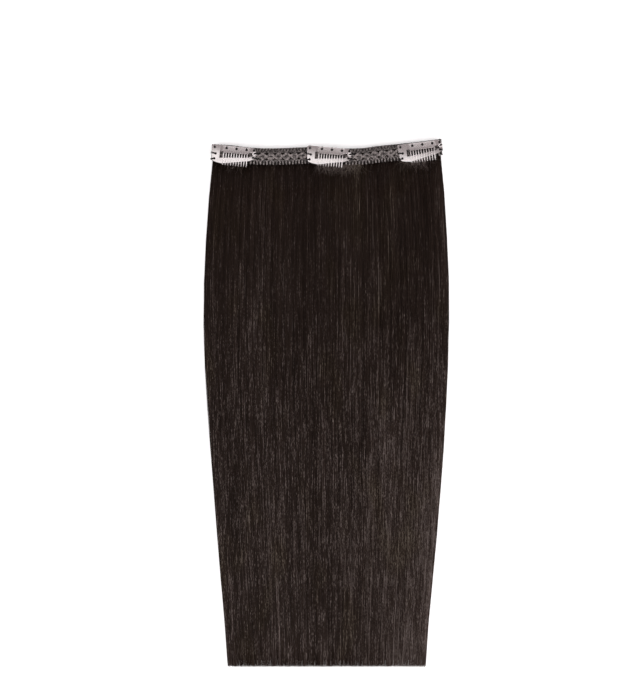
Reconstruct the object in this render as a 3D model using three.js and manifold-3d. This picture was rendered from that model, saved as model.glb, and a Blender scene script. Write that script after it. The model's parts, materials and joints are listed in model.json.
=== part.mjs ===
// A clip-in hair extension lying flat: one weft of straight hair whose sewn head carries a lace
// band, and three sprung snap clips with combs that sit on the band.
// Units are millimetres. +Z is up, +X runs along the band and the hair falls towards -Y.
// The origin is the middle of the weft head, on the surface that the hair lies on.

import * as THREE from "three";
import { mergeVertices } from "three/addons/utils/BufferGeometryUtils.js";
import Module from "manifold-3d";

const wasm = await Module();
wasm.setup();

// Lace band
const bandLength = 167;
const bandWidth = 12;
const bandThickness = 1;
const bandSway = 6.2;
const picotPitch = 2.3;
const picotDepth = 0.8;
const edgeLoopPitch = 1.5;
const edgeLoopDepth = 0.3;
const eyeletPitch = 5.8;
const eyeletWidth = 2.1;
const eyeletDepth = 1.1;
const eyeletRowSpacing = 3.8;

// Hair and the sewn head that it hangs from
const hairLength = 369;
const headThickness = 3.2;
const headInset = 1.1;
const hairLoft = 0.8;
const hairSway = 1.8;
const lockCount = 26;
const lockOverlap = 1.55;
const lockStagger = 2.4;

// Fixed plate of a snap clip: a wide pad, a bar and a narrow pad, with an eyelet ring
const clipLength = 32.5;
const clipDepth = 13.2;
const plateThickness = 0.5;
const plateCorner = 1.2;
const widePadLength = 6.2;
const narrowPadLength = 3.9;
const narrowPadWaist = 2.5;
const barWideDepth = 4.3;
const barNarrowDepth = 3.3;
const sewingHoleRadius = 0.65;
const ringRadius = 1.4;
const ringBoreRadius = 0.5;
const ringRise = 0.45;
const ringEdge = 0.1;

// Comb of a snap clip: an arm, sewn along its top edge, and its teeth
const armWideDepth = 5.4;
const armNarrowDepth = 4.8;
const armEndDepth = 3.8;
const windowLength = 2.4;
const windowTop = 4.2;
const openingLength = 1.7;
const toothPitch = 1.91;
const toothWidth = 0.95;
const toothTipWidth = 0.6;
const toothTipLength = 1.5;
const toothOverhang = 1.1;
const armHoleInset = 1.85;
const armHoleCount = 3;

// Clearance left between pieces that touch
const seam = 0.3;

// Heights of the stacked layers above the surface
const bandBase = headThickness + seam;
const clipBase = bandBase + bandThickness + seam;

// Line of the band as it lies: share along the band, and share of its sway towards +Y
const bandLineTable = [
  { along: 0, sway: 0.37 },
  { along: 0.08, sway: 0.24 },
  { along: 0.175, sway: -0.06 },
  { along: 0.275, sway: -0.13 },
  { along: 0.385, sway: -0.02 },
  { along: 0.47, sway: 0.03 },
  { along: 0.58, sway: -0.14 },
  { along: 0.655, sway: -0.1 },
  { along: 0.74, sway: 0.19 },
  { along: 0.81, sway: 0.37 },
  { along: 0.905, sway: 0.65 },
  { along: 1, sway: 0.98 },
];

// Sections down the hair: share of its length, half width as a share of half the band, height
// as a share of the head's thickness, and the share of the hair's loft that is added to it
const hairSections = [
  { down: 0, spread: 0.985, body: 0.72, loft: 0 },
  { down: 0.035, spread: 1.0, body: 0.98, loft: 0.4 },
  { down: 0.11, spread: 1.03, body: 1, loft: 1 },
  { down: 0.25, spread: 1.062, body: 1, loft: 1 },
  { down: 0.38, spread: 1.06, body: 0.97, loft: 0.97 },
  { down: 0.52, spread: 1.03, body: 0.93, loft: 0.9 },
  { down: 0.66, spread: 0.985, body: 0.87, loft: 0.8 },
  { down: 0.8, spread: 0.935, body: 0.8, loft: 0.6 },
  { down: 0.91, spread: 0.89, body: 0.72, loft: 0.4 },
  { down: 1, spread: 0.86, body: 0.62, loft: 0.2 },
];

// Outline of one flat-bottomed lock: share of half its width, share of its height
const lockProfile = [
  { across: -1, up: 0 },
  { across: 1, up: 0 },
  { across: 0.94, up: 0.45 },
  { across: 0.5, up: 0.92 },
  { across: 0, up: 1 },
  { across: -0.5, up: 0.92 },
  { across: -0.94, up: 0.45 },
];

// How the locks differ: thinning of the outermost ones, share by which the fullness varies, and
// turns of the waves that vary the fullness, length and sway from one lock to the next
const lockVariety = {
  edgeThinning: 0.4,
  edgePower: 5,
  unevenness: 0.07,
  fullnessTurn: 2.4,
  staggerTurn: 4.1,
  swayAcross: 9.4,
  swayDown: 6.9,
};

// Outer edge of the fixed plate from its narrow top corner round to the wide pad's lower left:
// shares of the clip's length and of its depth
const plateEdge = [
  { along: 0.925, down: 0 },
  { along: 0.97, down: 0.08 },
  { along: 1, down: 0.28 },
  { along: 0.995, down: 0.48 },
  { along: 0.955, down: 0.62 },
  { along: 0.86, down: 0.73 },
  { along: 0.26, down: 1 },
  { along: 0.15, down: 0.965 },
  { along: 0.07, down: 0.915 },
  { along: 0.025, down: 0.82 },
];
const barNarrowEnd = plateEdge[5];
const barWideEnd = plateEdge[6];

// Sewing holes of the fixed plate, and the level of its eyelet ring, in the same shares
const plateHoles = [
  { along: 0.065, down: 0.14 },
  { along: 0.097, down: 0.49 },
  { along: 0.077, down: 0.765 },
  { along: 0.9385, down: 0.127 },
  { along: 0.935, down: 0.53 },
];
const ringLevel = 0.3;

// The clips: share of the way that a clip can slide along the band, then its slide past that in
// millimetres, its turn in degrees away from the band's own line, and how far in millimetres
// its top edge stands past the band's
const clipTable = [
  { name: "clip_left", along: 0, slide: -0.13, askew: -0.6, raise: -0.3 },
  { name: "clip_middle", along: 0.512, slide: 0, askew: -3.4, raise: 0.4 },
  { name: "clip_right", along: 1, slide: 0.6, askew: 0.7, raise: -0.7 },
];

const holeSides = 8;
const ringSides = 12;
const headSamples = 36;

const finishes = {
  hair: { color: 0x241a17, roughness: 0.45, metalness: 0 },
  lace: { color: 0x6a6260, roughness: 0.9, metalness: 0 },
  plate: { color: 0xc9c3c1, roughness: 0.25, metalness: 1 },
  comb: { color: 0xd8d4d2, roughness: 0.22, metalness: 1 },
};

function mix(a, b, share) {
  return a + (b - a) * share;
}

// Value of a table's column at a share along it, on a smooth curve through its rows
function readTable(table, key, column, share) {
  const points = table.map((row) => new THREE.Vector2(row[key], row[column]));
  const last = points.length - 1;
  let i = 0;
  while (i < last - 1 && share > points[i + 1].x) i += 1;
  const a = points[Math.max(i - 1, 0)];
  const b = points[i];
  const c = points[i + 1];
  const d = points[Math.min(i + 2, last)];
  const t = THREE.MathUtils.clamp((share - b.x) / (c.x - b.x), 0, 1);
  const span = c.x - b.x;
  const slopeB = i > 0 ? ((c.y - a.y) / (c.x - a.x)) * span : c.y - b.y;
  const slopeC = i < last - 1 ? ((d.y - b.y) / (d.x - b.x)) * span : c.y - b.y;
  const t2 = t * t;
  const t3 = t2 * t;
  return (
    (2 * t3 - 3 * t2 + 1) * b.y +
    (t3 - 2 * t2 + t) * slopeB +
    (3 * t2 - 2 * t3) * c.y +
    (t3 - t2) * slopeC
  );
}

// Point on the band's line, in plan, at a share along it
function bandPoint(share) {
  return new THREE.Vector2(
    (share - 0.5) * bandLength,
    bandSway * readTable(bandLineTable, "along", "sway", share),
  );
}

// Point beside the band's line, at a distance towards +Y
function besideBand(share, distance) {
  const step = 0.002;
  const ahead = bandPoint(Math.min(share + step, 1));
  const behind = bandPoint(Math.max(share - step, 0));
  const way = ahead.sub(behind).normalize();
  return bandPoint(share).add(new THREE.Vector2(-way.y, way.x).multiplyScalar(distance));
}

// A geometry with only its positions kept, shared vertices merged
function closedGeometry(geometry) {
  const bare = geometry.clone();
  bare.deleteAttribute("normal");
  bare.deleteAttribute("uv");
  return mergeVertices(bare, 1e-4);
}

function solidOf(geometry) {
  const closed = closedGeometry(geometry);
  return new wasm.Manifold(
    new wasm.Mesh({
      numProp: 3,
      vertProperties: closed.attributes.position.array,
      triVerts: new Uint32Array(closed.index.array),
    }),
  );
}

function geometryOf(solid) {
  const mesh = solid.getMesh();
  return new THREE.BufferGeometry()
    .setAttribute("position", new THREE.BufferAttribute(mesh.vertProperties, 3))
    .setIndex(new THREE.BufferAttribute(mesh.triVerts, 1));
}

function shapeOf(points) {
  return new THREE.Shape(points.map(([x, y]) => new THREE.Vector2(x, y)));
}

function sewingHole(x, y) {
  return new THREE.Path(circlePoints(x, y, sewingHoleRadius, holeSides));
}

function circlePoints(x, y, radius, sides) {
  return Array.from({ length: sides }, (_, i) => {
    const turn = (2 * Math.PI * i) / sides;
    return new THREE.Vector2(x + radius * Math.cos(turn), y + radius * Math.sin(turn));
  });
}

function extrude(shape, depth, base) {
  const geometry = new THREE.ExtrudeGeometry(shape, { depth, bevelEnabled: false, steps: 1 });
  return geometry.translate(0, 0, base);
}

// Closed body through rings that all have the same number of points, with flat ends
function skinOf(rings) {
  const sides = rings[0].length;
  const positions = rings.flat().flatMap((point) => [point.x, point.y, point.z]);
  const index = [];
  for (let i = 0; i < rings.length - 1; i += 1) {
    for (let j = 0; j < sides; j += 1) {
      const a = i * sides + j;
      const b = i * sides + ((j + 1) % sides);
      index.push(a, b, a + sides, b, b + sides, a + sides);
    }
  }
  const last = (rings.length - 1) * sides;
  for (let j = 1; j < sides - 1; j += 1) {
    index.push(0, j + 1, j);
    index.push(last, last + j, last + j + 1);
  }
  return new THREE.BufferGeometry()
    .setAttribute("position", new THREE.Float32BufferAttribute(positions, 3))
    .setIndex(index);
}

function meshOf(name, geometry, finish) {
  const mesh = new THREE.Mesh(geometry, new THREE.MeshStandardMaterial(finish));
  mesh.name = name;
  return mesh;
}

// One scalloped edge of the band, on the side of its line that side's sign gives
function scallops(side, pitch, depth) {
  const count = Math.round(bandLength / pitch);
  return Array.from({ length: 2 * count + 1 }, (_, i) => {
    const out = bandWidth / 2 - (i % 2 === 0 ? depth : 0);
    return besideBand(i / (2 * count), side * out);
  });
}

// The lace band: a ribbon along its line with picots below, fine loops above and two rows of
// eyelets
function laceBand() {
  const shape = new THREE.Shape([
    ...scallops(-1, picotPitch, picotDepth),
    ...scallops(1, edgeLoopPitch, edgeLoopDepth).reverse(),
  ]);
  const eyelets = Math.floor(bandLength / eyeletPitch);
  for (let i = 0; i < eyelets; i += 1) {
    for (const row of [-1, 1]) {
      const share = 0.5 + ((i - (eyelets - 1) / 2) * eyeletPitch) / bandLength;
      const middle = besideBand(share, (row * eyeletRowSpacing) / 2);
      const corners = [
        new THREE.Vector2(middle.x - eyeletWidth / 2, middle.y),
        new THREE.Vector2(middle.x, middle.y + eyeletDepth / 2),
        new THREE.Vector2(middle.x + eyeletWidth / 2, middle.y),
        new THREE.Vector2(middle.x, middle.y - eyeletDepth / 2),
      ];
      shape.holes.push(new THREE.Path(corners));
    }
  }
  return meshOf("lace_band", extrude(shape, bandThickness, bandBase), finishes.lace);
}

// The sewn head under the band, inset from the band's edges
function weftHead() {
  const margin = headInset / bandLength;
  const edge = (side) =>
    Array.from({ length: headSamples + 1 }, (_, i) =>
      besideBand(mix(margin, 1 - margin, i / headSamples), side * (bandWidth / 2 - headInset)),
    );
  const shape = new THREE.Shape([...edge(-1), ...edge(1).reverse()]);
  return extrude(shape, headThickness, 0);
}

// Middle of a lock, in plan, at a share down the hair. Place runs from -1 to 1 across the hair.
function lockPoint(place, down) {
  const { swayAcross, swayDown } = lockVariety;
  const spread = readTable(hairSections, "down", "spread", down);
  const sway = hairSway * Math.sin(swayDown * down + swayAcross * place) * down * (1 - down);
  return new THREE.Vector2(
    place * spread * (bandLength / 2) + sway,
    mix(bandPoint((place + 1) / 2).y, -hairLength, down),
  );
}

// One lock from the head to its blunt end
function hairLock(number) {
  const { edgeThinning, edgePower, unevenness, fullnessTurn, staggerTurn } = lockVariety;
  const place = (2 * number + 1) / lockCount - 1;
  const thinning = 1 - edgeThinning * Math.abs(place) ** edgePower;
  const fullness = thinning * (1 - (unevenness * (1 - Math.cos(fullnessTurn * number))) / 2);
  const shortBy = (lockStagger / hairLength) * (1 + Math.sin(staggerTurn * number)) / 2;
  const halfWidth = (bandLength / 2 / lockCount) * lockOverlap;
  const rings = hairSections.map(({ down, spread, body, loft }) => {
    const middle = lockPoint(place, down * (1 - shortBy));
    const height = (body * headThickness + loft * hairLoft) * fullness;
    return lockProfile.map(
      ({ across, up }) =>
        new THREE.Vector3(middle.x + across * halfWidth * spread, middle.y, up * height),
    );
  });
  return skinOf(rings);
}

function hairWeft() {
  const locks = Array.from({ length: lockCount }, (_, i) => solidOf(hairLock(i)));
  const fused = wasm.Manifold.union([solidOf(weftHead()), ...locks]);
  return meshOf("hair_weft", geometryOf(fused), finishes.hair);
}

// Depth of the bar's upper edge below the clip's top edge, at a length along the clip
function barTop(length) {
  const wideEnd = barWideEnd.along * clipLength;
  const narrowEnd = barNarrowEnd.along * clipLength;
  const share = (length - wideEnd) / (narrowEnd - wideEnd);
  const lowerEdge = mix(barWideEnd.down, barNarrowEnd.down, share) * clipDepth;
  return lowerEdge - mix(barWideDepth, barNarrowDepth, share);
}

// Depth of the arm's lower edge between the teeth, at a length along the clip
function armBottom(length) {
  return mix(armWideDepth, armNarrowDepth, length / clipLength);
}

// Lengths along the clip: its openings, and the middles of as many teeth as fit between them
const armStart = widePadLength + seam;
const armEnd = clipLength - narrowPadLength;
const firstTooth = widePadLength + windowLength + toothWidth / 2;
const toothSpan = armEnd - openingLength - toothWidth / 2 - firstTooth;
const toothCount = Math.floor(toothSpan / toothPitch) + 1;
const toothMiddles = Array.from({ length: toothCount }, (_, i) => firstTooth + i * toothPitch);
const combRight = toothMiddles[toothCount - 1] + toothWidth / 2;

// Tilt of the comb about its top edge that lifts its teeth clear of the bar
const combTilt = Math.atan((plateThickness + seam) / barTop(combRight));

// The fixed plate, open at the top where the comb's arm lies, with its raised eyelet ring
function clipPlate() {
  const waist = clipLength - narrowPadWaist;
  const corner = plateCorner * (1 - Math.SQRT1_2);
  const edge = plateEdge.map(({ along, down }) => [along * clipLength, -down * clipDepth]);
  const shape = shapeOf([
    ...edge,
    [0, -plateCorner],
    [corner, -corner],
    [plateCorner, 0],
    [widePadLength, 0],
    [widePadLength, -barTop(widePadLength)],
    [waist, -barTop(waist)],
    [waist, -armEndDepth],
    [armEnd, -armEndDepth],
    [armEnd, 0],
  ]);
  for (const { along, down } of plateHoles) {
    shape.holes.push(sewingHole(along * clipLength, -down * clipDepth));
  }
  const x = clipLength - ringRadius - ringEdge;
  const y = -ringLevel * clipDepth;
  const bore = new THREE.Shape(circlePoints(x, y, ringBoreRadius, ringSides));
  const ring = new THREE.LatheGeometry(
    [
      new THREE.Vector2(ringBoreRadius, plateThickness / 2),
      new THREE.Vector2(ringRadius, plateThickness / 2),
      new THREE.Vector2(ringRadius, plateThickness + ringRise / 2),
      new THREE.Vector2((ringRadius + ringBoreRadius) / 2, plateThickness + ringRise),
      new THREE.Vector2(ringBoreRadius, plateThickness + ringRise / 2),
      new THREE.Vector2(ringBoreRadius, plateThickness / 2),
    ],
    ringSides,
  );
  ring.rotateX(Math.PI / 2).translate(x, y, 0);
  return geometryOf(
    solidOf(extrude(shape, plateThickness, 0))
      .subtract(solidOf(extrude(bore, 3 * plateThickness, -plateThickness)))
      .add(solidOf(ring)),
  );
}

// The comb: the arm and its teeth, drawn flat and then tilted about the arm's top edge
function clipComb() {
  const end = armEnd - seam;
  const reach = clipDepth + toothOverhang;
  const shoulder = reach - toothTipLength;
  const bevel = (toothWidth - toothTipWidth) / 2;
  const teeth = toothMiddles.flatMap((middle, i) => [
    [middle - toothWidth / 2, i > 0 ? -armBottom(middle) : -windowTop],
    [middle - toothWidth / 2, -shoulder],
    [middle - toothTipWidth / 2, bevel - reach],
    [middle, -reach],
    [middle + toothTipWidth / 2, bevel - reach],
    [middle + toothWidth / 2, -shoulder],
    [middle + toothWidth / 2, i < toothCount - 1 ? -armBottom(middle) : -armNarrowDepth],
  ]);
  const opening = combRight + (armNarrowDepth - armEndDepth) / 2;
  const shape = shapeOf([
    [armStart, 0],
    [armStart, -windowTop],
    ...teeth,
    [opening, -armEndDepth],
    [end, -armEndDepth],
    [end, 0],
  ]);
  const holePitch = (end - armStart) / armHoleCount;
  for (let i = 0; i < armHoleCount; i += 1) {
    const x = armStart + holePitch * (i + 0.5) + sewingHoleRadius;
    shape.holes.push(sewingHole(x, -armHoleInset));
  }
  return extrude(shape, plateThickness, 0).rotateX(-combTilt);
}

// Where a clip's top wide corner lies on the band, and its turn in plan
function clipPlace({ along, slide, askew, raise }) {
  const half = clipLength / 2 / bandLength;
  const middle = mix(half, 1 - half, along) + slide / bandLength;
  const from = bandPoint(middle - half);
  const to = bandPoint(middle + half);
  const turn = Math.atan2(to.y - from.y, to.x - from.x) + THREE.MathUtils.degToRad(askew);
  const way = new THREE.Vector2(Math.cos(turn), Math.sin(turn));
  const across = new THREE.Vector2(-way.y, way.x);
  const corner = from
    .add(to)
    .divideScalar(2)
    .addScaledVector(across, bandWidth / 2 + raise)
    .addScaledVector(way, -clipLength / 2);
  return { corner, turn };
}

function snapClip(row) {
  const clip = new THREE.Group();
  const { corner, turn } = clipPlace(row);
  clip.add(meshOf(`${row.name}_plate`, clipPlate(), finishes.plate));
  clip.add(meshOf(`${row.name}_comb`, clipComb(), finishes.comb));
  clip.position.set(corner.x, corner.y, clipBase);
  clip.rotation.z = turn;
  return clip;
}

const weft = new THREE.Group();
weft.add(hairWeft(), laceBand());
for (const row of clipTable) weft.add(snapClip(row));

export default weft;
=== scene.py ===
"""Looks of a clip-in hair extension that lies flat with its clips up.

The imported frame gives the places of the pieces. Sizes here are in millimetres, and meshes are
written in metres. +X runs along the lace band, the hair falls towards -Y, and +Z is up. A scale of
a pattern is a number of turns for each metre along X, Y and Z. One unit of a plate's map covers
MAP_SPAN millimetres.
"""

import json
import logging
import math
from collections.abc import Callable, Sequence
from dataclasses import dataclass, field
from enum import Enum

import bpy
import numpy as np
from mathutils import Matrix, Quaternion, Vector
from mathutils.geometry import delaunay_2d_cdt


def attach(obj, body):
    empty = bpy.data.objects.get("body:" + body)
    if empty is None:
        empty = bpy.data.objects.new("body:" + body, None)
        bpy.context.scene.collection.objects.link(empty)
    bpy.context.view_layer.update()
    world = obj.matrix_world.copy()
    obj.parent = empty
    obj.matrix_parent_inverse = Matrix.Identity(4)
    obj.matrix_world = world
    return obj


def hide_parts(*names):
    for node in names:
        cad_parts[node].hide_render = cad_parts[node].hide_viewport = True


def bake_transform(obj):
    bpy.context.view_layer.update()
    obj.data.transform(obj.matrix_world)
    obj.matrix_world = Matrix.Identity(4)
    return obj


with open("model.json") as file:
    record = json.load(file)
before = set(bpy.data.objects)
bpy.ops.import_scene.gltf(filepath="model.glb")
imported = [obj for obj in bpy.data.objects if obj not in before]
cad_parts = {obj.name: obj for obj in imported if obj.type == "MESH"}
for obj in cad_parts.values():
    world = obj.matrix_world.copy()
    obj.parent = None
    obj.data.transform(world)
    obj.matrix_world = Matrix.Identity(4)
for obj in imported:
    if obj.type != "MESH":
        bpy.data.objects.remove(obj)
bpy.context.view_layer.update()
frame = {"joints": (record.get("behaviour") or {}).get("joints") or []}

log = logging.getLogger("hair_extension")

METRES = 0.001
MAP_SPAN = 40.0
UP = np.array([0.0, 0.0, 1.0])
Colour = tuple[float, float, float]
Point = tuple[float, float, float]
Scale = tuple[float, float, float]
Pair = tuple[float, float]
Height = Callable[[np.ndarray, np.ndarray], np.ndarray]


class Side(Enum):
    """Side of the hair that a layer of strands lies on."""

    UPPER = "upper"
    UNDER = "under"


class Yarn(Enum):
    """Kind of yarn in the lace."""

    GROUND = "ground"
    PALE = "pale"
    DARK = "dark"


# Curves and meshes


@dataclass(frozen=True)
class Curve:
    """A smooth curve through a short table of values.

    Attributes:
        at: rising places of the rows.
        value: the value in each row.
    """

    at: tuple[float, ...]
    value: tuple[float, ...]

    def read(self, where: np.ndarray) -> np.ndarray:
        """Reads the curve as a cubic Hermite whose slope at a row joins its two neighbours.

        Args:
            where: places to read at, of any shape.

        Returns:
            The values there.
        """
        x, y = np.array(self.at), np.array(self.value)
        slope = np.empty_like(y)
        slope[1:-1] = (y[2:] - y[:-2]) / (x[2:] - x[:-2])
        slope[0] = (y[1] - y[0]) / (x[1] - x[0])
        slope[-1] = (y[-1] - y[-2]) / (x[-1] - x[-2])
        place = np.clip(where, x[0], x[-1])
        row = np.clip(np.searchsorted(x, place, side="right") - 1, 0, len(x) - 2)
        span = x[row + 1] - x[row]
        t = (place - x[row]) / span
        return (
            (2 * t**3 - 3 * t**2 + 1) * y[row]
            + (t**3 - 2 * t**2 + t) * slope[row] * span
            + (3 * t**2 - 2 * t**3) * y[row + 1]
            + (t**3 - t**2) * slope[row + 1] * span
        )


@dataclass
class Faces:
    """Points and faces of one mesh, still as arrays.

    Attributes:
        points: one row of three lengths in millimetres for each point.
        rings: arrays of faces, each array with faces of one number of corners.
        uv: two numbers for each point, or None.
        tone: one number for each point, or None.
    """

    points: np.ndarray
    rings: list[np.ndarray]
    uv: np.ndarray | None = None
    tone: np.ndarray | None = None

    @staticmethod
    def joined(parts: Sequence["Faces"]) -> "Faces":
        """Joins meshes into one, with each part's face numbers moved past the points before it.

        Args:
            parts: the meshes, all with a map and none with a tone.

        Returns:
            The joined mesh.
        """
        starts = np.cumsum([0] + [len(part.points) for part in parts[:-1]])
        rings = [ring + start for part, start in zip(parts, starts) for ring in part.rings]
        points = np.vstack([part.points for part in parts])
        return Faces(points, rings, np.vstack([part.uv for part in parts]))

    def piece(
        self, name: str, material: bpy.types.Material, crease: float = 50.0
    ) -> bpy.types.Object:
        """Writes the arrays into a new mesh object at the origin.

        Args:
            name: the piece's name.
            material: the material of all its faces.
            crease: angle in degrees past which an edge is shaded sharp.

        Returns:
            The new object.
        """
        mesh = bpy.data.meshes.new(name)
        corners = np.concatenate([ring.ravel() for ring in self.rings]).astype(np.int32)
        counts = np.concatenate([np.full(len(ring), ring.shape[1]) for ring in self.rings])
        starts = np.concatenate([[0], np.cumsum(counts)[:-1]])
        mesh.vertices.add(len(self.points))
        mesh.vertices.foreach_set("co", (self.points * METRES).astype(np.float32).ravel())
        mesh.loops.add(len(corners))
        mesh.loops.foreach_set("vertex_index", corners)
        mesh.polygons.add(len(counts))
        mesh.polygons.foreach_set("loop_start", starts.astype(np.int32))
        mesh.polygons.foreach_set("loop_total", counts.astype(np.int32))
        if self.uv is not None:
            layer = mesh.uv_layers.new(name="UVMap")
            layer.data.foreach_set("uv", self.uv[corners].astype(np.float32).ravel())
        if self.tone is not None:
            attribute = mesh.attributes.new("tone", "FLOAT", "POINT")
            attribute.data.foreach_set("value", self.tone.astype(np.float32))
        mesh.update(calc_edges=True)
        mesh.validate()
        mesh.shade_smooth()
        mesh.set_sharp_from_angle(angle=math.radians(crease))
        mesh.materials.append(material)
        made = bpy.data.objects.new(name, mesh)
        bpy.context.scene.collection.objects.link(made)
        return made


def tubes(
    paths: np.ndarray,
    radii: np.ndarray,
    sides: int,
    reference: np.ndarray,
    tone: np.ndarray | None = None,
) -> Faces:
    """Carries a round section along many paths at once.

    At each point of a path the section lies in the plane square to the path: one axis is the
    reference direction crossed with the path's direction, the other is square to both. A point
    of the section is the path's point plus the radius times the cosine and sine along them.

    Args:
        paths: points, as (paths, points on a path, 3), in millimetres.
        radii: radius at each of those points.
        sides: corners of the section.
        reference: a direction that no path runs along, or one for each path.
        tone: one number for each point of each path.

    Returns:
        Closed tubes, all with faces outwards.
    """
    count, length, _ = paths.shape
    along = np.gradient(paths, axis=1)
    along /= np.linalg.norm(along, axis=2, keepdims=True)
    across = np.cross(np.broadcast_to(reference, paths.shape), along)
    across /= np.linalg.norm(across, axis=2, keepdims=True)
    upward = np.cross(along, across)
    turn = 2 * np.pi * np.arange(sides) / sides
    offset = (
        np.cos(turn)[None, None, :, None] * across[:, :, None, :]
        + np.sin(turn)[None, None, :, None] * upward[:, :, None, :]
    )
    points = paths[:, :, None, :] + radii[:, :, None, None] * offset
    number = np.arange(count * length * sides).reshape(count, length, sides)
    after = np.roll(number, -1, axis=2)
    walls = np.stack([number[:, :-1], after[:, :-1], after[:, 1:], number[:, 1:]], axis=-1)
    caps = np.concatenate([number[:, 0, ::-1], number[:, -1]])
    row = (np.arange(count)[:, None, None] + 0.5 * np.arange(sides) / sides + 0.2) / count
    down = np.linspace(0, 1, length)[None, :, None]
    uv = np.stack(
        [np.broadcast_to(row, number.shape), np.broadcast_to(down, number.shape)], axis=-1
    )
    spread = None if tone is None else np.repeat(tone[:, :, None], sides, axis=2).ravel()
    return Faces(points.reshape(-1, 3), [walls.reshape(-1, 4), caps], uv.reshape(-1, 2), spread)


def closed_loft(rings: np.ndarray) -> Faces:
    """Skins closed rings of points, with flat ends made of strips across the ring.

    Args:
        rings: points, as (rings, points on a ring, 3). A ring has an even number of points,
            and turns anticlockwise as seen from where the rings go.

    Returns:
        One closed body.
    """
    count, sides, _ = rings.shape
    number = np.arange(count * sides).reshape(count, sides)
    after = np.roll(number, -1, axis=1)
    walls = np.stack([number[:-1], after[:-1], after[1:], number[1:]], axis=-1).reshape(-1, 4)
    near = np.arange(sides // 2 - 1)
    far = sides - 1 - near
    start = np.stack([far, far - 1, near + 1, near], axis=-1)
    finish = np.stack([near, near + 1, far - 1, far], axis=-1) + number[-1, 0]
    across, down = np.meshgrid(np.linspace(0, 1, sides), np.linspace(0, 1, count))
    uv = np.stack([across.ravel(), down.ravel()], axis=-1)
    return Faces(rings.reshape(-1, 3), [walls, start, finish], uv)


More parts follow.
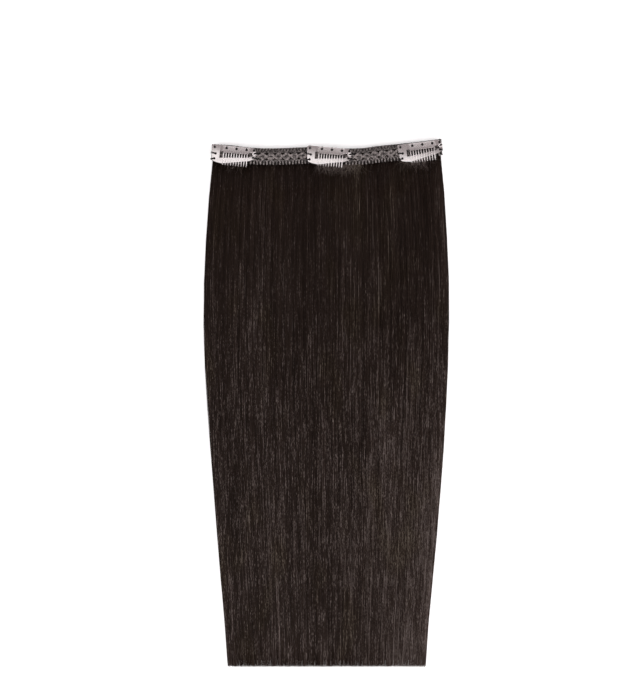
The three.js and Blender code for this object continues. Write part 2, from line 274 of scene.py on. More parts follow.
@dataclass(frozen=True)
class Sheet:
    """A thin plate cut from sheet, with rounded rims, holes and a bowed face.

    Attributes:
        outline: corners of the outline, anticlockwise, in the plate's own plane.
        cuts: numbers of the outline's edges that meet another piece, so they stay square.
        holes: outlines of the holes, anticlockwise.
        thickness: thickness of the sheet.
        rim: width of the rounded rim.
        spacing: distance between the points on the faces.
        straight: sine of the turn below which two edges count as one line.
        clear: share of the spacing that the grid keeps from the loops.
    """

    outline: np.ndarray
    cuts: tuple[int, ...]
    holes: tuple[np.ndarray, ...]
    thickness: float
    rim: float
    spacing: float
    straight: float = 0.05
    clear: float = 0.45

    def loop(self, corners: np.ndarray, cuts: tuple[int, ...]) -> tuple[np.ndarray, np.ndarray]:
        """Divides an outline's edges evenly and marks the points of each edge.

        Args:
            corners: the outline's corners.
            cuts: numbers of the square edges.

        Returns:
            The points, and for the edge that starts at each point how far it is set in.
        """
        ends = np.roll(corners, -1, axis=0)
        points, inset = [], []
        for i, (a, b) in enumerate(zip(corners, ends)):
            steps = max(1, round(float(np.linalg.norm(b - a)) / self.spacing))
            points.append(a + (b - a) * (np.arange(steps) / steps)[:, None])
            inset.append(np.full(steps, 0.0 if i in cuts else self.rim))
        return np.vstack(points), np.concatenate(inset)

    def set_in(self, points: np.ndarray, inset: np.ndarray) -> np.ndarray:
        """Moves each point inwards so that each edge lies its own distance from where it was.

        A point moves by the vector whose part along each of its two edges' inward normals is
        that edge's distance.

        Args:
            points: the loop, anticlockwise.
            inset: distance of the edge that starts at each point.

        Returns:
            The moved loop.
        """
        edge = np.roll(points, -1, axis=0) - points
        edge /= np.linalg.norm(edge, axis=1, keepdims=True)
        after = np.stack([-edge[:, 1], edge[:, 0]], axis=1)
        before, before_inset = np.roll(after, 1, axis=0), np.roll(inset, 1)
        turn = before[:, 0] * after[:, 1] - before[:, 1] * after[:, 0]
        in_line = np.abs(turn) < self.straight
        safe = np.where(in_line, 1.0, turn)
        x = (before_inset * after[:, 1] - inset * before[:, 1]) / safe
        y = (before[:, 0] * inset - after[:, 0] * before_inset) / safe
        even = after * np.minimum(inset, before_inset)[:, None]
        return points + np.where(in_line[:, None], even, np.stack([x, y], axis=1))

    @staticmethod
    def inside(points: np.ndarray, loop: np.ndarray) -> np.ndarray:
        """Tells which points lie in a loop: a ray from such a point crosses it an odd number
        of times.

        Args:
            points: the points to test.
            loop: corners of the loop.

        Returns:
            True for each point that lies inside.
        """
        a, b = loop[None], np.roll(loop, -1, axis=0)[None]
        x, y = points[:, 0, None], points[:, 1, None]
        spans = (a[..., 1] > y) != (b[..., 1] > y)
        rise = np.where(b[..., 1] == a[..., 1], 1.0, b[..., 1] - a[..., 1])
        crossing = a[..., 0] + (y - a[..., 1]) * (b[..., 0] - a[..., 0]) / rise
        return (spans & (x < crossing)).sum(axis=1) % 2 == 1

    def on_face(self, points: np.ndarray, loops: Sequence[np.ndarray]) -> np.ndarray:
        """Tells which points lie in the first loop and in none of the holes after it.

        Args:
            points: the points to test.
            loops: the set-in outline and holes.

        Returns:
            True for each point that lies on the face.
        """
        keep = self.inside(points, loops[0])
        for hole in loops[1:]:
            keep &= ~self.inside(points, hole)
        return keep

    def faces(self, height: Height) -> Faces:
        """Builds the closed plate: two triangulated faces and rims of three bands.

        The face's points are the set-in loops and an even grid between them. A point's level is
        the height function of its two coordinates, plus the thickness on the upper face.

        Args:
            height: level of the under face over the plate's plane.

        Returns:
            The plate's mesh, in its own plane.
        """
        loops = [self.loop(self.outline, self.cuts)]
        loops += [self.loop(hole[::-1], ()) for hole in self.holes]
        outer = [points for points, _ in loops]
        inner = [self.set_in(points, inset) for points, inset in loops]
        rims = np.vstack(inner)
        low, high = rims.min(axis=0), rims.max(axis=0)
        grid = np.stack(
            np.meshgrid(*(np.arange(a, b, self.spacing) for a, b in zip(low, high))), axis=-1
        ).reshape(-1, 2)
        gap = np.linalg.norm(grid[:, None] - rims[None], axis=2).min(axis=1)
        grid = grid[self.on_face(grid, inner) & (gap > self.spacing * self.clear)]
        starts = np.cumsum([0] + [len(points) for points in inner])
        loop_ids = [np.arange(a, b) for a, b in zip(starts, starts[1:])]
        edges = np.vstack([np.stack([ids, np.roll(ids, -1)], axis=1) for ids in loop_ids])
        flat = np.vstack([rims, grid])
        found = delaunay_2d_cdt([Vector(p) for p in flat], edges.tolist(), [], 0, 1e-6)
        triangles = np.array(found[2], dtype=int)
        triangles = triangles[self.on_face(flat[triangles].mean(axis=1), inner)]
        a, b, c = (flat[triangles[:, i]] for i in range(3))
        (ab_x, ab_y), (ac_x, ac_y) = (b - a).T, (c - a).T
        area = ab_x * ac_y - ab_y * ac_x
        triangles = np.where((area > 0)[:, None], triangles, triangles[:, ::-1])
        edge = np.vstack(outer)
        level, edge_level = height(*flat.T), height(*edge.T)
        top = np.column_stack([flat, level + self.thickness])
        bottom = np.column_stack([flat, level])
        set_down = np.minimum(self.rim, self.thickness / 3)
        upper = np.column_stack([edge, edge_level + self.thickness - set_down])
        lower = np.column_stack([edge, edge_level + set_down])
        points = np.vstack([top, bottom, upper, lower])
        under, up, low_rim = len(flat), 2 * len(flat), 2 * len(flat) + len(edge)
        walls = []
        for ids in loop_ids:
            after = np.roll(ids, -1)
            walls += [
                np.stack([ids + up, after + up, after, ids], axis=1),
                np.stack([ids + low_rim, after + low_rim, after + up, ids + up], axis=1),
                np.stack([ids + under, after + under, after + low_rim, ids + low_rim], axis=1),
            ]
        uv = points[:, :2] / MAP_SPAN + np.array([0.0, 0.5])
        return Faces(points, [triangles, triangles[:, ::-1] + under, np.vstack(walls)], uv)


# Shader maths


class Value:
    """A socket that adds Math nodes when it is used in an expression."""

    def __init__(self, graph: "Graph", socket: bpy.types.NodeSocket) -> None:
        """Keeps the graph and the socket."""
        self.graph, self.socket = graph, socket

    def math(self, operation: str, first: "Value | float", second: "Value | float") -> "Value":
        """Adds a Math node and returns its output."""
        return self.graph.read("ShaderNodeMath", {"operation": operation}, {0: first, 1: second})

    def __add__(self, other: "Value | float") -> "Value":
        """Adds."""
        return self.math("ADD", self, other)

    def __radd__(self, other: float) -> "Value":
        """Adds to a number."""
        return self.math("ADD", other, self)

    def __sub__(self, other: "Value | float") -> "Value":
        """Subtracts."""
        return self.math("SUBTRACT", self, other)

    def __rsub__(self, other: float) -> "Value":
        """Subtracts from a number."""
        return self.math("SUBTRACT", other, self)

    def __mul__(self, other: "Value | float") -> "Value":
        """Multiplies."""
        return self.math("MULTIPLY", self, other)

    def __rmul__(self, other: float) -> "Value":
        """Multiplies a number."""
        return self.math("MULTIPLY", other, self)


class Graph:
    """A material's node tree round one Principled shader."""

    def __init__(self, name: str, constants: dict[str, float | tuple]) -> None:
        """Makes the material.

        Args:
            name: the material's name.
            constants: values set straight on the shader's sockets.
        """
        self.material = bpy.data.materials.new(name)
        self.material.use_nodes = True
        self.tree = self.material.node_tree
        self.tree.nodes.clear()
        self.shader = self.node("ShaderNodeBsdfPrincipled", {}, constants)
        self.node("ShaderNodeOutputMaterial", {}, {"Surface": self.shader.outputs[0]})

    def node(
        self, kind: str, settings: dict[str, object], values: dict[str | int, object]
    ) -> bpy.types.Node:
        """Adds a node.

        Args:
            kind: the node's type.
            settings: its settings, with "stops" for a ramp's places and colours.
            values: a constant or a link for each named or numbered input.

        Returns:
            The node.
        """
        made = self.tree.nodes.new(kind)
        for key, setting in settings.items():
            if key != "stops":
                setattr(made, key, setting)
                continue
            elements = made.color_ramp.elements
            while len(elements) < len(setting):
                elements.new(1.0)
            for element, (place, colour) in zip(elements, setting):
                element.position, element.color = place, (*colour, 1.0)
        for key, value in values.items():
            socket = value.socket if isinstance(value, Value) else value
            if isinstance(socket, bpy.types.NodeSocket):
                self.tree.links.new(socket, made.inputs[key])
            else:
                made.inputs[key].default_value = socket
        return made

    def read(
        self,
        kind: str,
        settings: dict[str, object],
        values: dict[str | int, object],
        output: int | str = 0,
    ) -> Value:
        """Adds a node and returns one of its outputs."""
        return Value(self, self.node(kind, settings, values).outputs[output])

    def feed(self, name: str, value: Value) -> None:
        """Links a value to the shader."""
        self.tree.links.new(value.socket, self.shader.inputs[name])

    def place(self, scale: Scale) -> Value:
        """Coordinates of the surface, stretched by a scale for each axis."""
        where = self.read("ShaderNodeTexCoord", {}, {}, "Object")
        return self.read("ShaderNodeMapping", {}, {"Vector": where, "Scale": scale})

    def smooth(self, value: Value, low: float, high: float) -> Value:
        """Goes smoothly from 0 at one value to 1 at another."""
        values = {"Value": value, "From Min": low, "From Max": high}
        return self.read("ShaderNodeMapRange", {"interpolation_type": "SMOOTHSTEP"}, values)

    def noise(self, scale: Scale, detail: float = 2.0) -> Value:
        """Smooth noise from 0 to 1, of one scale along each axis."""
        values = {"Vector": self.place(scale), "Scale": 1.0, "Detail": detail}
        return self.read("ShaderNodeTexNoise", {}, values, "Fac")

    def ramp(self, factor: Value, stops: Sequence[tuple[float, Colour]]) -> Value:
        """Colours along a factor."""
        return self.read("ShaderNodeValToRGB", {"stops": stops}, {"Fac": factor}, "Color")

    def mix(self, factor: Value | float, first: object, second: object) -> Value:
        """Blends two colours."""
        values = {0: factor, 6: first, 7: second}
        return self.read("ShaderNodeMix", {"data_type": "RGBA"}, values, 2)

    def tint(self, colour: Value, by: Colour) -> Value:
        """Multiplies a colour by another."""
        settings = {"data_type": "RGBA", "blend_type": "MULTIPLY"}
        return self.read("ShaderNodeMix", settings, {0: 1.0, 6: colour, 7: (*by, 1.0)}, 2)

    def bump(self, height: Value, distance: float) -> None:
        """Feeds a height in metres to the shader's normal."""
        values = {"Height": height, "Distance": distance, "Strength": 1.0}
        self.feed("Normal", self.read("ShaderNodeBump", {}, values))


# Finishes


@dataclass(frozen=True)
class HairFinish:
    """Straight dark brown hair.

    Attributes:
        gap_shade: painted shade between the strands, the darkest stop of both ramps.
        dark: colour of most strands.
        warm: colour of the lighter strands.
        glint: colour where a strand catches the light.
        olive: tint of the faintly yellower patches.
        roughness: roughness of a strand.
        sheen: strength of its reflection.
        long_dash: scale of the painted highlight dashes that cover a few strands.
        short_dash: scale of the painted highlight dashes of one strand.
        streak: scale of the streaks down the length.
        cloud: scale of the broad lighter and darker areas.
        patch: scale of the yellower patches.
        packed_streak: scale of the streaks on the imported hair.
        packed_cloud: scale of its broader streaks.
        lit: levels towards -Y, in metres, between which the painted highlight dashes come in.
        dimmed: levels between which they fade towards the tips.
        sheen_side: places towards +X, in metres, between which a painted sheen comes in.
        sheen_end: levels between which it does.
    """

    gap_shade: Colour = (0.0045, 0.0026, 0.0019)
    dark: Colour = (0.0125, 0.0072, 0.0054)
    warm: Colour = (0.03, 0.0195, 0.0158)
    glint: Colour = (0.16, 0.128, 0.118)
    olive: Colour = (1.0, 1.02, 0.72)
    roughness: float = 0.42
    sheen: float = 0.05
    long_dash: Scale = (2100.0, 70.0, 700.0)
    short_dash: Scale = (4300.0, 480.0, 1500.0)
    streak: Scale = (2300.0, 20.0, 700.0)
    cloud: Scale = (70.0, 9.0, 70.0)
    patch: Scale = (60.0, 22.0, 60.0)
    packed_streak: Scale = (2600.0, 16.0, 2600.0)
    packed_cloud: Scale = (420.0, 7.0, 420.0)
    lit: Pair = (-0.02, -0.25)
    dimmed: Pair = (-0.25, -0.36)
    sheen_side: Pair = (0.005, 0.085)
    sheen_end: Pair = (-0.12, -0.3)

    def strands(self) -> bpy.types.Material:
        """Material of the strands: each one's tone, and painted highlight dashes over a few at a
        time.

        A dash is a painted highlight, where a noise that is long along the hair passes a level.
        Long dashes show most where short ones cross them. They come in from the head to the middle
        of the length and fade a little towards the tips, so this painted sheen is strongest on the
        lower part. Streaks and broad areas shift the tone between them, and a painted sheen
        lightens the lower part on the +X side.

        Returns:
            The material.
        """
        graph = Graph("hair_strand", {"Specular IOR Level": self.sheen, "IOR": 1.5})
        tone = graph.read("ShaderNodeAttribute", {"attribute_name": "tone"}, {}, "Fac")
        # Painted shade: the lowest stop stands for the shade between strands.
        stops = ((0.0, self.gap_shade), (0.3, self.dark), (0.62, self.warm), (1.0, self.glint))
        where = graph.read("ShaderNodeTexCoord", {}, {}, "Object")
        side, level = (graph.read("ShaderNodeSeparateXYZ", {}, {0: where}, axis) for axis in "XY")
        # Painted sheen: the highlight dashes come in towards -Y and fade a little near the tips.
        below = graph.smooth(level, *self.lit) * (1.0 - 0.35 * graph.smooth(level, *self.dimmed))
        # Painted sheen: a paler patch on the lower +X side of the hair, added to the tone below.
        painted_sheen = graph.smooth(side, *self.sheen_side) * graph.smooth(level, *self.sheen_end)
        coarse = graph.smooth(graph.noise(self.long_dash, 2.5), 0.46, 0.68)
        fine = graph.smooth(graph.noise(self.short_dash, 1.5), 0.44, 0.66)
        grain, broad = graph.noise(self.streak), graph.noise(self.cloud)
        # Painted highlight: the dashes lift the tone towards the glint colour, more on the lower
        # part.
        dashes = (coarse * 0.16 + coarse * fine * 0.95 + fine * 0.26) * (below * 0.6 + 0.4)
        # Painted sheen: the streaks get more contrast on the lower part, and the paler patch
        # lightens its +X side.
        drift = (grain - 0.5) * (below * 0.3 + 0.32) + (broad - 0.5) * 0.35 + painted_sheen * 0.22 - 0.02
        shade = graph.ramp(tone + dashes * 0.78 + drift, stops)
        patch = graph.smooth(graph.noise(self.patch, 1.0), 0.5, 0.72)
        graph.feed("Base Color", graph.mix(patch * 0.4, shade, graph.tint(shade, self.olive)))
        graph.feed("Roughness", grain * 0.2 + (self.roughness - 0.1))
        return graph.material

    def body(self) -> bpy.types.Material:
        """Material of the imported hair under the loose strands, streaked along its length.

        Returns:
            The material.
        """
        graph = Graph("hair_body", {"Specular IOR Level": self.sheen * 0.6, "IOR": 1.55})
        fine, broad = graph.noise(self.packed_streak, 3.0), graph.noise(self.packed_cloud)
        # Painted shade: the darkest streaks of the imported hair stand for the shade between
        # strands.
        stops = ((0.25, self.gap_shade), (0.6, self.dark), (0.9, self.warm))
        graph.feed("Base Color", graph.ramp(fine * 0.6 + broad * 0.4, stops))
        graph.feed("Roughness", fine * 0.25 + self.roughness)
        graph.bump(fine, 0.0003)
        return graph.material


@dataclass(frozen=True)
class YarnFinish:
    """Matt spun yarn of the lace or the sewing thread.

    Attributes:
        name: the material's name.
        dark: painted shade in the hollows of the ply.
        light: colour on its crests, the yarn's own colour with a painted highlight.
        ply: turns of the ply for each metre.
        roughness: roughness of the yarn.
        nap: strength of its soft bloom.
        fuzz: scale of its fine fibres.
        mottle: scale of the stitches that are lighter or darker at random.
    """

    name: str
    dark: Colour
    light: Colour
    ply: float = 900.0
    roughness: float = 0.85
    nap: float = 0.25
    fuzz: Scale = (1500.0, 1500.0, 1500.0)
    mottle: Scale = (800.0, 800.0, 800.0)

    def material(self) -> bpy.types.Material:
        """Material with a twisted ply, as a fine diagonal wave over the surface, its hollows
        painted in shade and its crests lighter.

        Returns:
            The material.
        """
        graph = Graph(self.name, {"Specular IOR Level": self.nap, "Sheen Weight": self.nap})
        where = graph.place((self.ply, self.ply * 0.6, self.ply))
        twist = graph.read(
            "ShaderNodeTexWave",
            {"wave_type": "BANDS", "bands_direction": "DIAGONAL"},
            {"Vector": where, "Scale": 1.0, "Distortion": 1.4, "Detail": 1.0},
            "Fac",
        )
        fuzz = graph.noise(self.fuzz, 3.0)
        mottled = graph.smooth(graph.noise(self.mottle, 1.5), 0.38, 0.62)
        # Painted shade and highlight: the twist darkens the ply's hollows and lightens its crests.
        light = (twist * 0.45 + fuzz * 0.3 + 0.12) * (mottled * 0.98 + 0.2)
        graph.feed("Base Color", graph.mix(light, (*self.dark, 1), (*self.light, 1)))
        graph.feed("Roughness", fuzz * 0.2 + (self.roughness - 0.1))
        graph.bump(twist * 0.6 + fuzz * 0.4, 0.0001)
        return graph.material


@dataclass(frozen=True)
class NetFinish:
    """Fine net that the lace's yarns are worked on.

    Attributes:
        cell_shade: painted shade in the net's cells, near black where the shaded hair shows
            through.
        thread: colour of its threads.
        cells: cells for each metre.
    """

    cell_shade: Colour = (0.0022, 0.0016, 0.0014)
    thread: Colour = (0.016, 0.0122, 0.0113)
    cells: float = 1450.0

    def material(self) -> bpy.types.Material:
        """Material with threads round small cells, from the distance to the cells' borders.

        Returns:
            The material.
        """
        constants = {"Specular IOR Level": 0.12, "Sheen Weight": 0.08, "Roughness": 0.9}
        graph = Graph("lace_net", constants)
        where = graph.place((self.cells, self.cells, 0.0))
        cells = graph.read(
            "ShaderNodeTexVoronoi",
            {"feature": "DISTANCE_TO_EDGE"},
            {"Vector": where, "Scale": 1.0, "Randomness": 0.35},
            "Distance",
        )
        # Painted shade: the cells between the threads are near black.
        stops = ((0.08, self.thread), (0.24, self.cell_shade))
        graph.feed("Base Color", graph.ramp(cells, stops))
        graph.bump(1.0 - cells, 0.00015)
        return graph.material


@dataclass(frozen=True)
class SteelFinish:
    """Nickel-plated spring steel.

    Attributes:
        name: the material's name.
        colour: reflected colour.
        roughness: mean roughness.
        stain: share of the colour that its duller places reflect.
        uneven: scale of the uneven plating.
        lines: scale of the polishing lines.
    """

    name: str
    colour: Colour = (0.83, 0.79, 0.785)
    roughness: float = 0.17
    stain: float = 0.86
    uneven: Scale = (220.0, 220.0, 220.0)
    lines: Scale = (300.0, 9000.0, 300.0)

    def material(self) -> bpy.types.Material:
        """Material with faint polishing lines and a slightly uneven plating.

        Returns:
            The material.
        """
        graph = Graph(self.name, {"Metallic": 1.0})
        uneven, lines = graph.noise(self.uneven), graph.noise(self.lines, 3.0)
        stain = tuple(self.stain * c for c in self.colour)
        graph.feed("Base Color", graph.mix(uneven * 0.7, (*self.colour, 1), (*stain, 1)))
        graph.feed("Roughness", uneven * 0.1 + lines * 0.12 + (self.roughness - 0.08))
        graph.bump(lines * 0.12 + uneven, 0.00002)
        return graph.material


@dataclass(frozen=True)
class FloorFinish:
    """Plain pale studio floor.

    Attributes:
        colour: its colour.
        glow: light of its own, as of a lit table.
    """

    colour: Colour = (0.9, 0.9, 0.9)
    glow: float = 0.35

    def material(self) -> bpy.types.Material:
        """Material with a matt even surface.

        Returns:
            The material.
        """
        constants = {"Base Color": (*self.colour, 1), "Roughness": 0.9, "Specular IOR Level": 0.1}
        constants |= {"Emission Color": (*self.colour, 1), "Emission Strength": self.glow}
        return Graph("floor", constants).material


# The band and what lies along it


@dataclass(frozen=True)
class BandLine:
    """Line of the lace band as it lies.

    Attributes:
        length: length of the band.
        width: width of the band.
        sway: how far its line sways.
        line: share along the band to share of the sway.
    """

    length: float = 167.0
    width: float = 12.0
    sway: float = 6.2
    line: Curve = Curve(
        (0, 0.08, 0.175, 0.275, 0.385, 0.47, 0.58, 0.655, 0.74, 0.81, 0.905, 1),
        (0.37, 0.24, -0.06, -0.13, -0.02, 0.03, -0.14, -0.1, 0.19, 0.37, 0.65, 0.98),
    )

    def level(self, along: np.ndarray) -> np.ndarray:
        """Level of the line towards +Y at lengths from the band's middle."""
        return self.sway * self.line.read(along / self.length + 0.5)

    def lay(self, along: np.ndarray, across: np.ndarray, up: np.ndarray) -> np.ndarray:
        """Lays points of a straight band on the band's line.

        A point moves from the line along its normal, which is the line's direction turned left.

        Args:
            along: lengths from the band's middle.
            across: distances from its line, towards +Y.
            up: levels over the surface.

        Returns:
            The points in the frame.
        """
        step = 0.3
        slope = (self.level(along + step) - self.level(along - step)) / (2 * step)
        scale = across / np.sqrt(1 + slope**2)
        return np.stack([along - slope * scale, self.level(along) + scale, up], axis=-1)


@dataclass(frozen=True)
class Chain:
    """A yarn that runs along the band with a small even wobble.

    Attributes:
        level: distance from the band's line.
        radius: radius of the yarn.
        pitch: length of one wobble.
    """

    level: float
    radius: float
    pitch: float


@dataclass(frozen=True)
class Loops:
    """A yarn that swings up and down in a row of upright loops.

    Attributes:
        level: distance of the row's middle from the band's line.
        reach: how far the yarn swings to either side of it.
        pitch: length of one swing.
        start: part of a swing that comes before the band's end.
        gather: how far a loop's sides close up, as a share of an even swing.
        sway: how far the row's middle sways.
        sway_rate: turn of the sway for each millimetre.
        lift: height of the yarn over the net.
        roll: how far that height rises and falls with the swing.
        radius: radius of the yarn.
    """

    level: float
    reach: float
    pitch: float
    start: float
    gather: float
    sway: float
    sway_rate: float
    lift: float
    roll: float
    radius: float


@dataclass
class LaceBand:
    """The knitted lace band over the sewn head.

    Attributes:
        line: the band's line.
        spans: places along the band where each clip's row of teeth starts and ends.
        under: level of the net's under face.
        net: thickness of the net.
        net_rim: width of the net's rounded rim.
        net_spacing: distance between the points on the net.
        eyelet_pitch: distance between eyelets.
        eyelet_row: distance of an eyelet row from the line.
        eyelet: half length and half width of an eyelet.
        picots: the tall loops below.
        uprights: the finer loops above.
        picot_depth: depth of the scallops at the lower edge.
        edge_depth: depth of the scallops at the upper edge.
        chains: the yarns along the band.
        chain_sway: how far a chain wobbles.
        braid_yarns: yarns in a braid.
        braid_swing: how far a braid swings from the line.
        braid_reach: how far its yarns swing within it.
        braid_pitch: length of one swing of its yarns.
        yarn: radius of the braid's yarns.
        fill: how far the zigzags in the almonds swing.
        fill_pitch: length of one zigzag.
        fill_radius: radius of their yarn.
        hem: distance of the fine loops at the upper edge from the line.
        hem_reach: how far they swing.
        hem_lean: how far they lean to and fro.
        hem_radius: radius of their yarn.
        places: how many points a yarn has along the band.
        sunk: how far the clips press the yarns into the net.
        press: length over which they are pressed down.
    """

    line: BandLine
    spans: np.ndarray
    under: float = 3.55
    net: float = 0.35
    net_rim: float = 0.05
    net_spacing: float = 0.9
    eyelet_pitch: float = 5.8
    eyelet_row: float = 1.9
    eyelet: Pair = (0.95, 0.68)
    picots: Loops = Loops(
        level=-4.2, reach=1.65, pitch=2.3, start=0.25, gather=-0.7,
        sway=0.08, sway_rate=1.3, lift=0.16, roll=-0.1, radius=0.3,
    )
    uprights: Loops = Loops(
        level=4.25, reach=1.15, pitch=2.3, start=0.0, gather=0.6,
        sway=0.1, sway_rate=1.1, lift=0.14, roll=0.08, radius=0.25,
    )
    picot_depth: float = 1.0
    edge_depth: float = 0.4
    chains: tuple[Chain, ...] = (
        Chain(level=-2.85, radius=0.24, pitch=1.3),
        Chain(level=2.85, radius=0.22, pitch=1.1),
        Chain(level=4.3, radius=0.13, pitch=0.9),
        Chain(level=5.75, radius=0.16, pitch=0.75),
    )
    chain_sway: float = 0.14
    braid_yarns: int = 4
    braid_swing: float = 1.68
    braid_reach: float = 0.74
    braid_pitch: float = 2.6
    yarn: float = 0.22
    fill: float = 0.72
    fill_pitch: float = 1.3
    fill_radius: float = 0.13
    hem: float = 5.6
    hem_reach: float = 0.34
    hem_lean: float = 0.3
    hem_radius: float = 0.17
    places: int = 1300
    sunk: float = 0.62
    press: float = 1.0

    def eyelets(self) -> np.ndarray:
        """Lengths of the eyelets along the band."""
        count = int(self.line.length // self.eyelet_pitch)
        return (np.arange(count) - (count - 1) / 2) * self.eyelet_pitch

    def along(self) -> np.ndarray:
        """Even places along the band for the points of a yarn."""
        return np.linspace(-self.line.length / 2, self.line.length / 2, self.places)

    def scallops(self, pitch: float, depth: float) -> np.ndarray:
        """Edge of the net: its distance from the line is the band's reach, less a depth that comes
        and goes as a sine raised to a power under one, so the scallops are full and round.

        Args:
            pitch: length of one scallop.
            depth: depth of the notches between them.

        Returns:
            Points as length along the band and distance from its line.
        """
        half = self.line.length / 2
        along = np.linspace(-half, half, 6 * round(self.line.length / pitch) + 1)
        wave = np.abs(np.sin(np.pi * (along + half) / pitch)) ** 0.7
        return np.column_stack([along, self.line.width / 2 - depth * (1 - wave)])

    def ground(self) -> bpy.types.Object:
        """Builds the net: a thin sheet with scalloped edges, pierced by the eyelets.

        Returns:
            The piece.
        """
        low = self.scallops(self.picots.pitch, self.picot_depth) * np.array([1.0, -1.0])
        high = self.scallops(self.uprights.pitch, self.edge_depth)
        turn = 2 * np.pi * np.arange(12) / 12
        oval = np.column_stack([self.eyelet[0] * np.cos(turn), self.eyelet[1] * np.sin(turn)])
        holes = tuple(
            oval + np.array([along, row * self.eyelet_row])
            for along in self.eyelets()
            for row in (-1, 1)
        )
        outline = np.vstack([low, high[::-1]])
        sheet = Sheet(outline, (), holes, self.net, self.net_rim, self.net_spacing)
        faces = sheet.faces(lambda x, y: np.full_like(x, self.under))
        faces.points = self.line.lay(*faces.points.T)
        return faces.piece("lace_net", NetFinish().material())

    def strand(
        self, along: np.ndarray, across: np.ndarray, lift: np.ndarray | float, radius: float
    ) -> Faces:
        """Builds one yarn along a path on the net, pressed down where a clip's teeth lie on it.

        Args:
            along: lengths from the band's middle.
            across: distances from its line.
            lift: heights over the net.
            radius: radius of the yarn.

        Returns:
            Its tube.
        """
        half = self.line.length / 2 - radius
        low, high = self.spans[:, 0, None], self.spans[:, 1, None]
        inwards = np.minimum(along - low, high - along) / self.press
        up = self.under + self.net + lift - self.sunk * np.clip(inwards, 0, 1).max(axis=0)
        path = self.line.lay(np.clip(along, -half, half), across, up)
        kept = np.concatenate([[True], np.linalg.norm(np.diff(path, axis=0), axis=1) > 0.02])
        path = path[kept][None]
        return tubes(path, np.full(path.shape[:2], radius), 5, UP)

    def braid(self, sign: int) -> list[Faces]:
        """Builds one of the two braids that cross at each eyelet, so they form almond shapes.

        The braid's distance from the line is a sine with a slow drift. Its yarns swing from side
        to side in it, each a part of a turn behind the last, and dip twice in each swing.

        Args:
            sign: 1 or -1, for the side that it swings to first.

        Returns:
            The tubes of its yarns.
        """
        s = self.along()
        phase = np.pi * (s - self.eyelets()[0]) / self.eyelet_pitch
        drift = 0.13 * np.sin(0.83 * s + 2 * sign) + 0.1 * np.sin(2.1 * s + sign)
        centre = drift + sign * self.braid_swing * np.sin(phase)
        uneven = 0.6 * np.sin(0.7 * s)
        made = []
        for lane in range(self.braid_yarns):
            turn = 2 * np.pi * (s / self.braid_pitch + lane / self.braid_yarns) + uneven
            across = centre + self.braid_reach * np.sin(turn)
            lift = 0.2 + sign * 0.08 * np.cos(phase) + 0.13 * np.cos(turn * 2)
            made.append(self.strand(s, across, lift, self.yarn))
        return made

    def loops(self, row: Loops) -> Faces:
        """Builds a row of upright loops.

        The yarn's distance from the row's middle is a sine raised to a power under one, so the
        loops are tall with round ends, and its place along the band swings so that they close up.

        Args:
            row: sizes of the row.

        Returns:
            Its tube.
        """
        s = self.along()
        turn = 2 * np.pi * ((s + self.line.length / 2) / row.pitch + row.start)
        swing = np.sign(np.sin(turn)) * np.abs(np.sin(turn)) ** 0.6
        across = row.level + row.reach * swing + row.sway * np.sin(row.sway_rate * s)
        gather = row.gather * row.pitch * np.cos(turn) / (2 * np.pi)
        return self.strand(s + gather, across, row.lift + row.roll * np.cos(turn), row.radius)

    def edging(self) -> Faces:
        """Builds the fine loops along the upper edge: a flat curl that leans to and fro.

        Returns:
            Their tube.
        """
        s = self.along()
        turn = 2 * np.pi * (s + self.line.length / 2) / self.uprights.pitch
        across = self.hem + self.hem_reach * np.cos(turn)
        return self.strand(s + self.hem_lean * np.sin(2 * turn), across, 0.15, self.hem_radius)

    def grounds(self) -> list[Faces]:
        """Builds the chains along the band, and the zigzags that cross in the almonds.

        A chain's distance from the line is a small sine, and a zigzag's is a triangle wave.

        Returns:
            Their tubes.
        """
        s = self.along()
        made = []
        for chain in self.chains:
            across = chain.level + self.chain_sway * np.sin(2 * np.pi * s / chain.pitch)
            made.append(self.strand(s, across, 0.2, chain.radius))
        wave = np.arcsin(np.sin(2 * np.pi * s / self.fill_pitch)) * 2 / np.pi
        for across in (-self.fill * wave, self.fill * wave):
            made.append(self.strand(s, across, 0.04, self.fill_radius))
        return made

    def yarns(self, kind: Yarn) -> Faces:
        """Builds the yarns of one kind.

        Args:
            kind: pale for the braids and the picots, dark for the loops above, or ground.

        Returns:
            Their tubes.
        """
        if kind is Yarn.PALE:
            return Faces.joined([*self.braid(-1), *self.braid(1), self.loops(self.picots)])
        if kind is Yarn.DARK:
            return Faces.joined([self.loops(self.uprights), self.edging()])
        return Faces.joined(self.grounds())

    def build(self) -> None:
        """Builds the lace and sets its pieces on the band."""
        net = self.ground()
        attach(net, "weft")
        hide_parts("lace_band")
        # Painted shade: in each pair the first colour is the shade of the ply's hollows, the second
        # the yarn's crests.
        colours = {
            Yarn.PALE: ((0.026, 0.021, 0.02), (0.46, 0.405, 0.392)),
            Yarn.DARK: ((0.011, 0.0085, 0.008), (0.35, 0.302, 0.291)),
            Yarn.GROUND: ((0.014, 0.011, 0.0105), (0.2, 0.172, 0.165)),
        }
        for kind, (dark, light) in colours.items():
            finish = YarnFinish(f"lace_{kind.value}_yarn", dark, light, ply=650.0)
            piece = self.yarns(kind).piece(f"lace_{kind.value}_yarns", finish.material())
            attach(piece, "weft")
            log.info("%s with %d faces", piece.name, len(piece.data.polygons))


# The hair


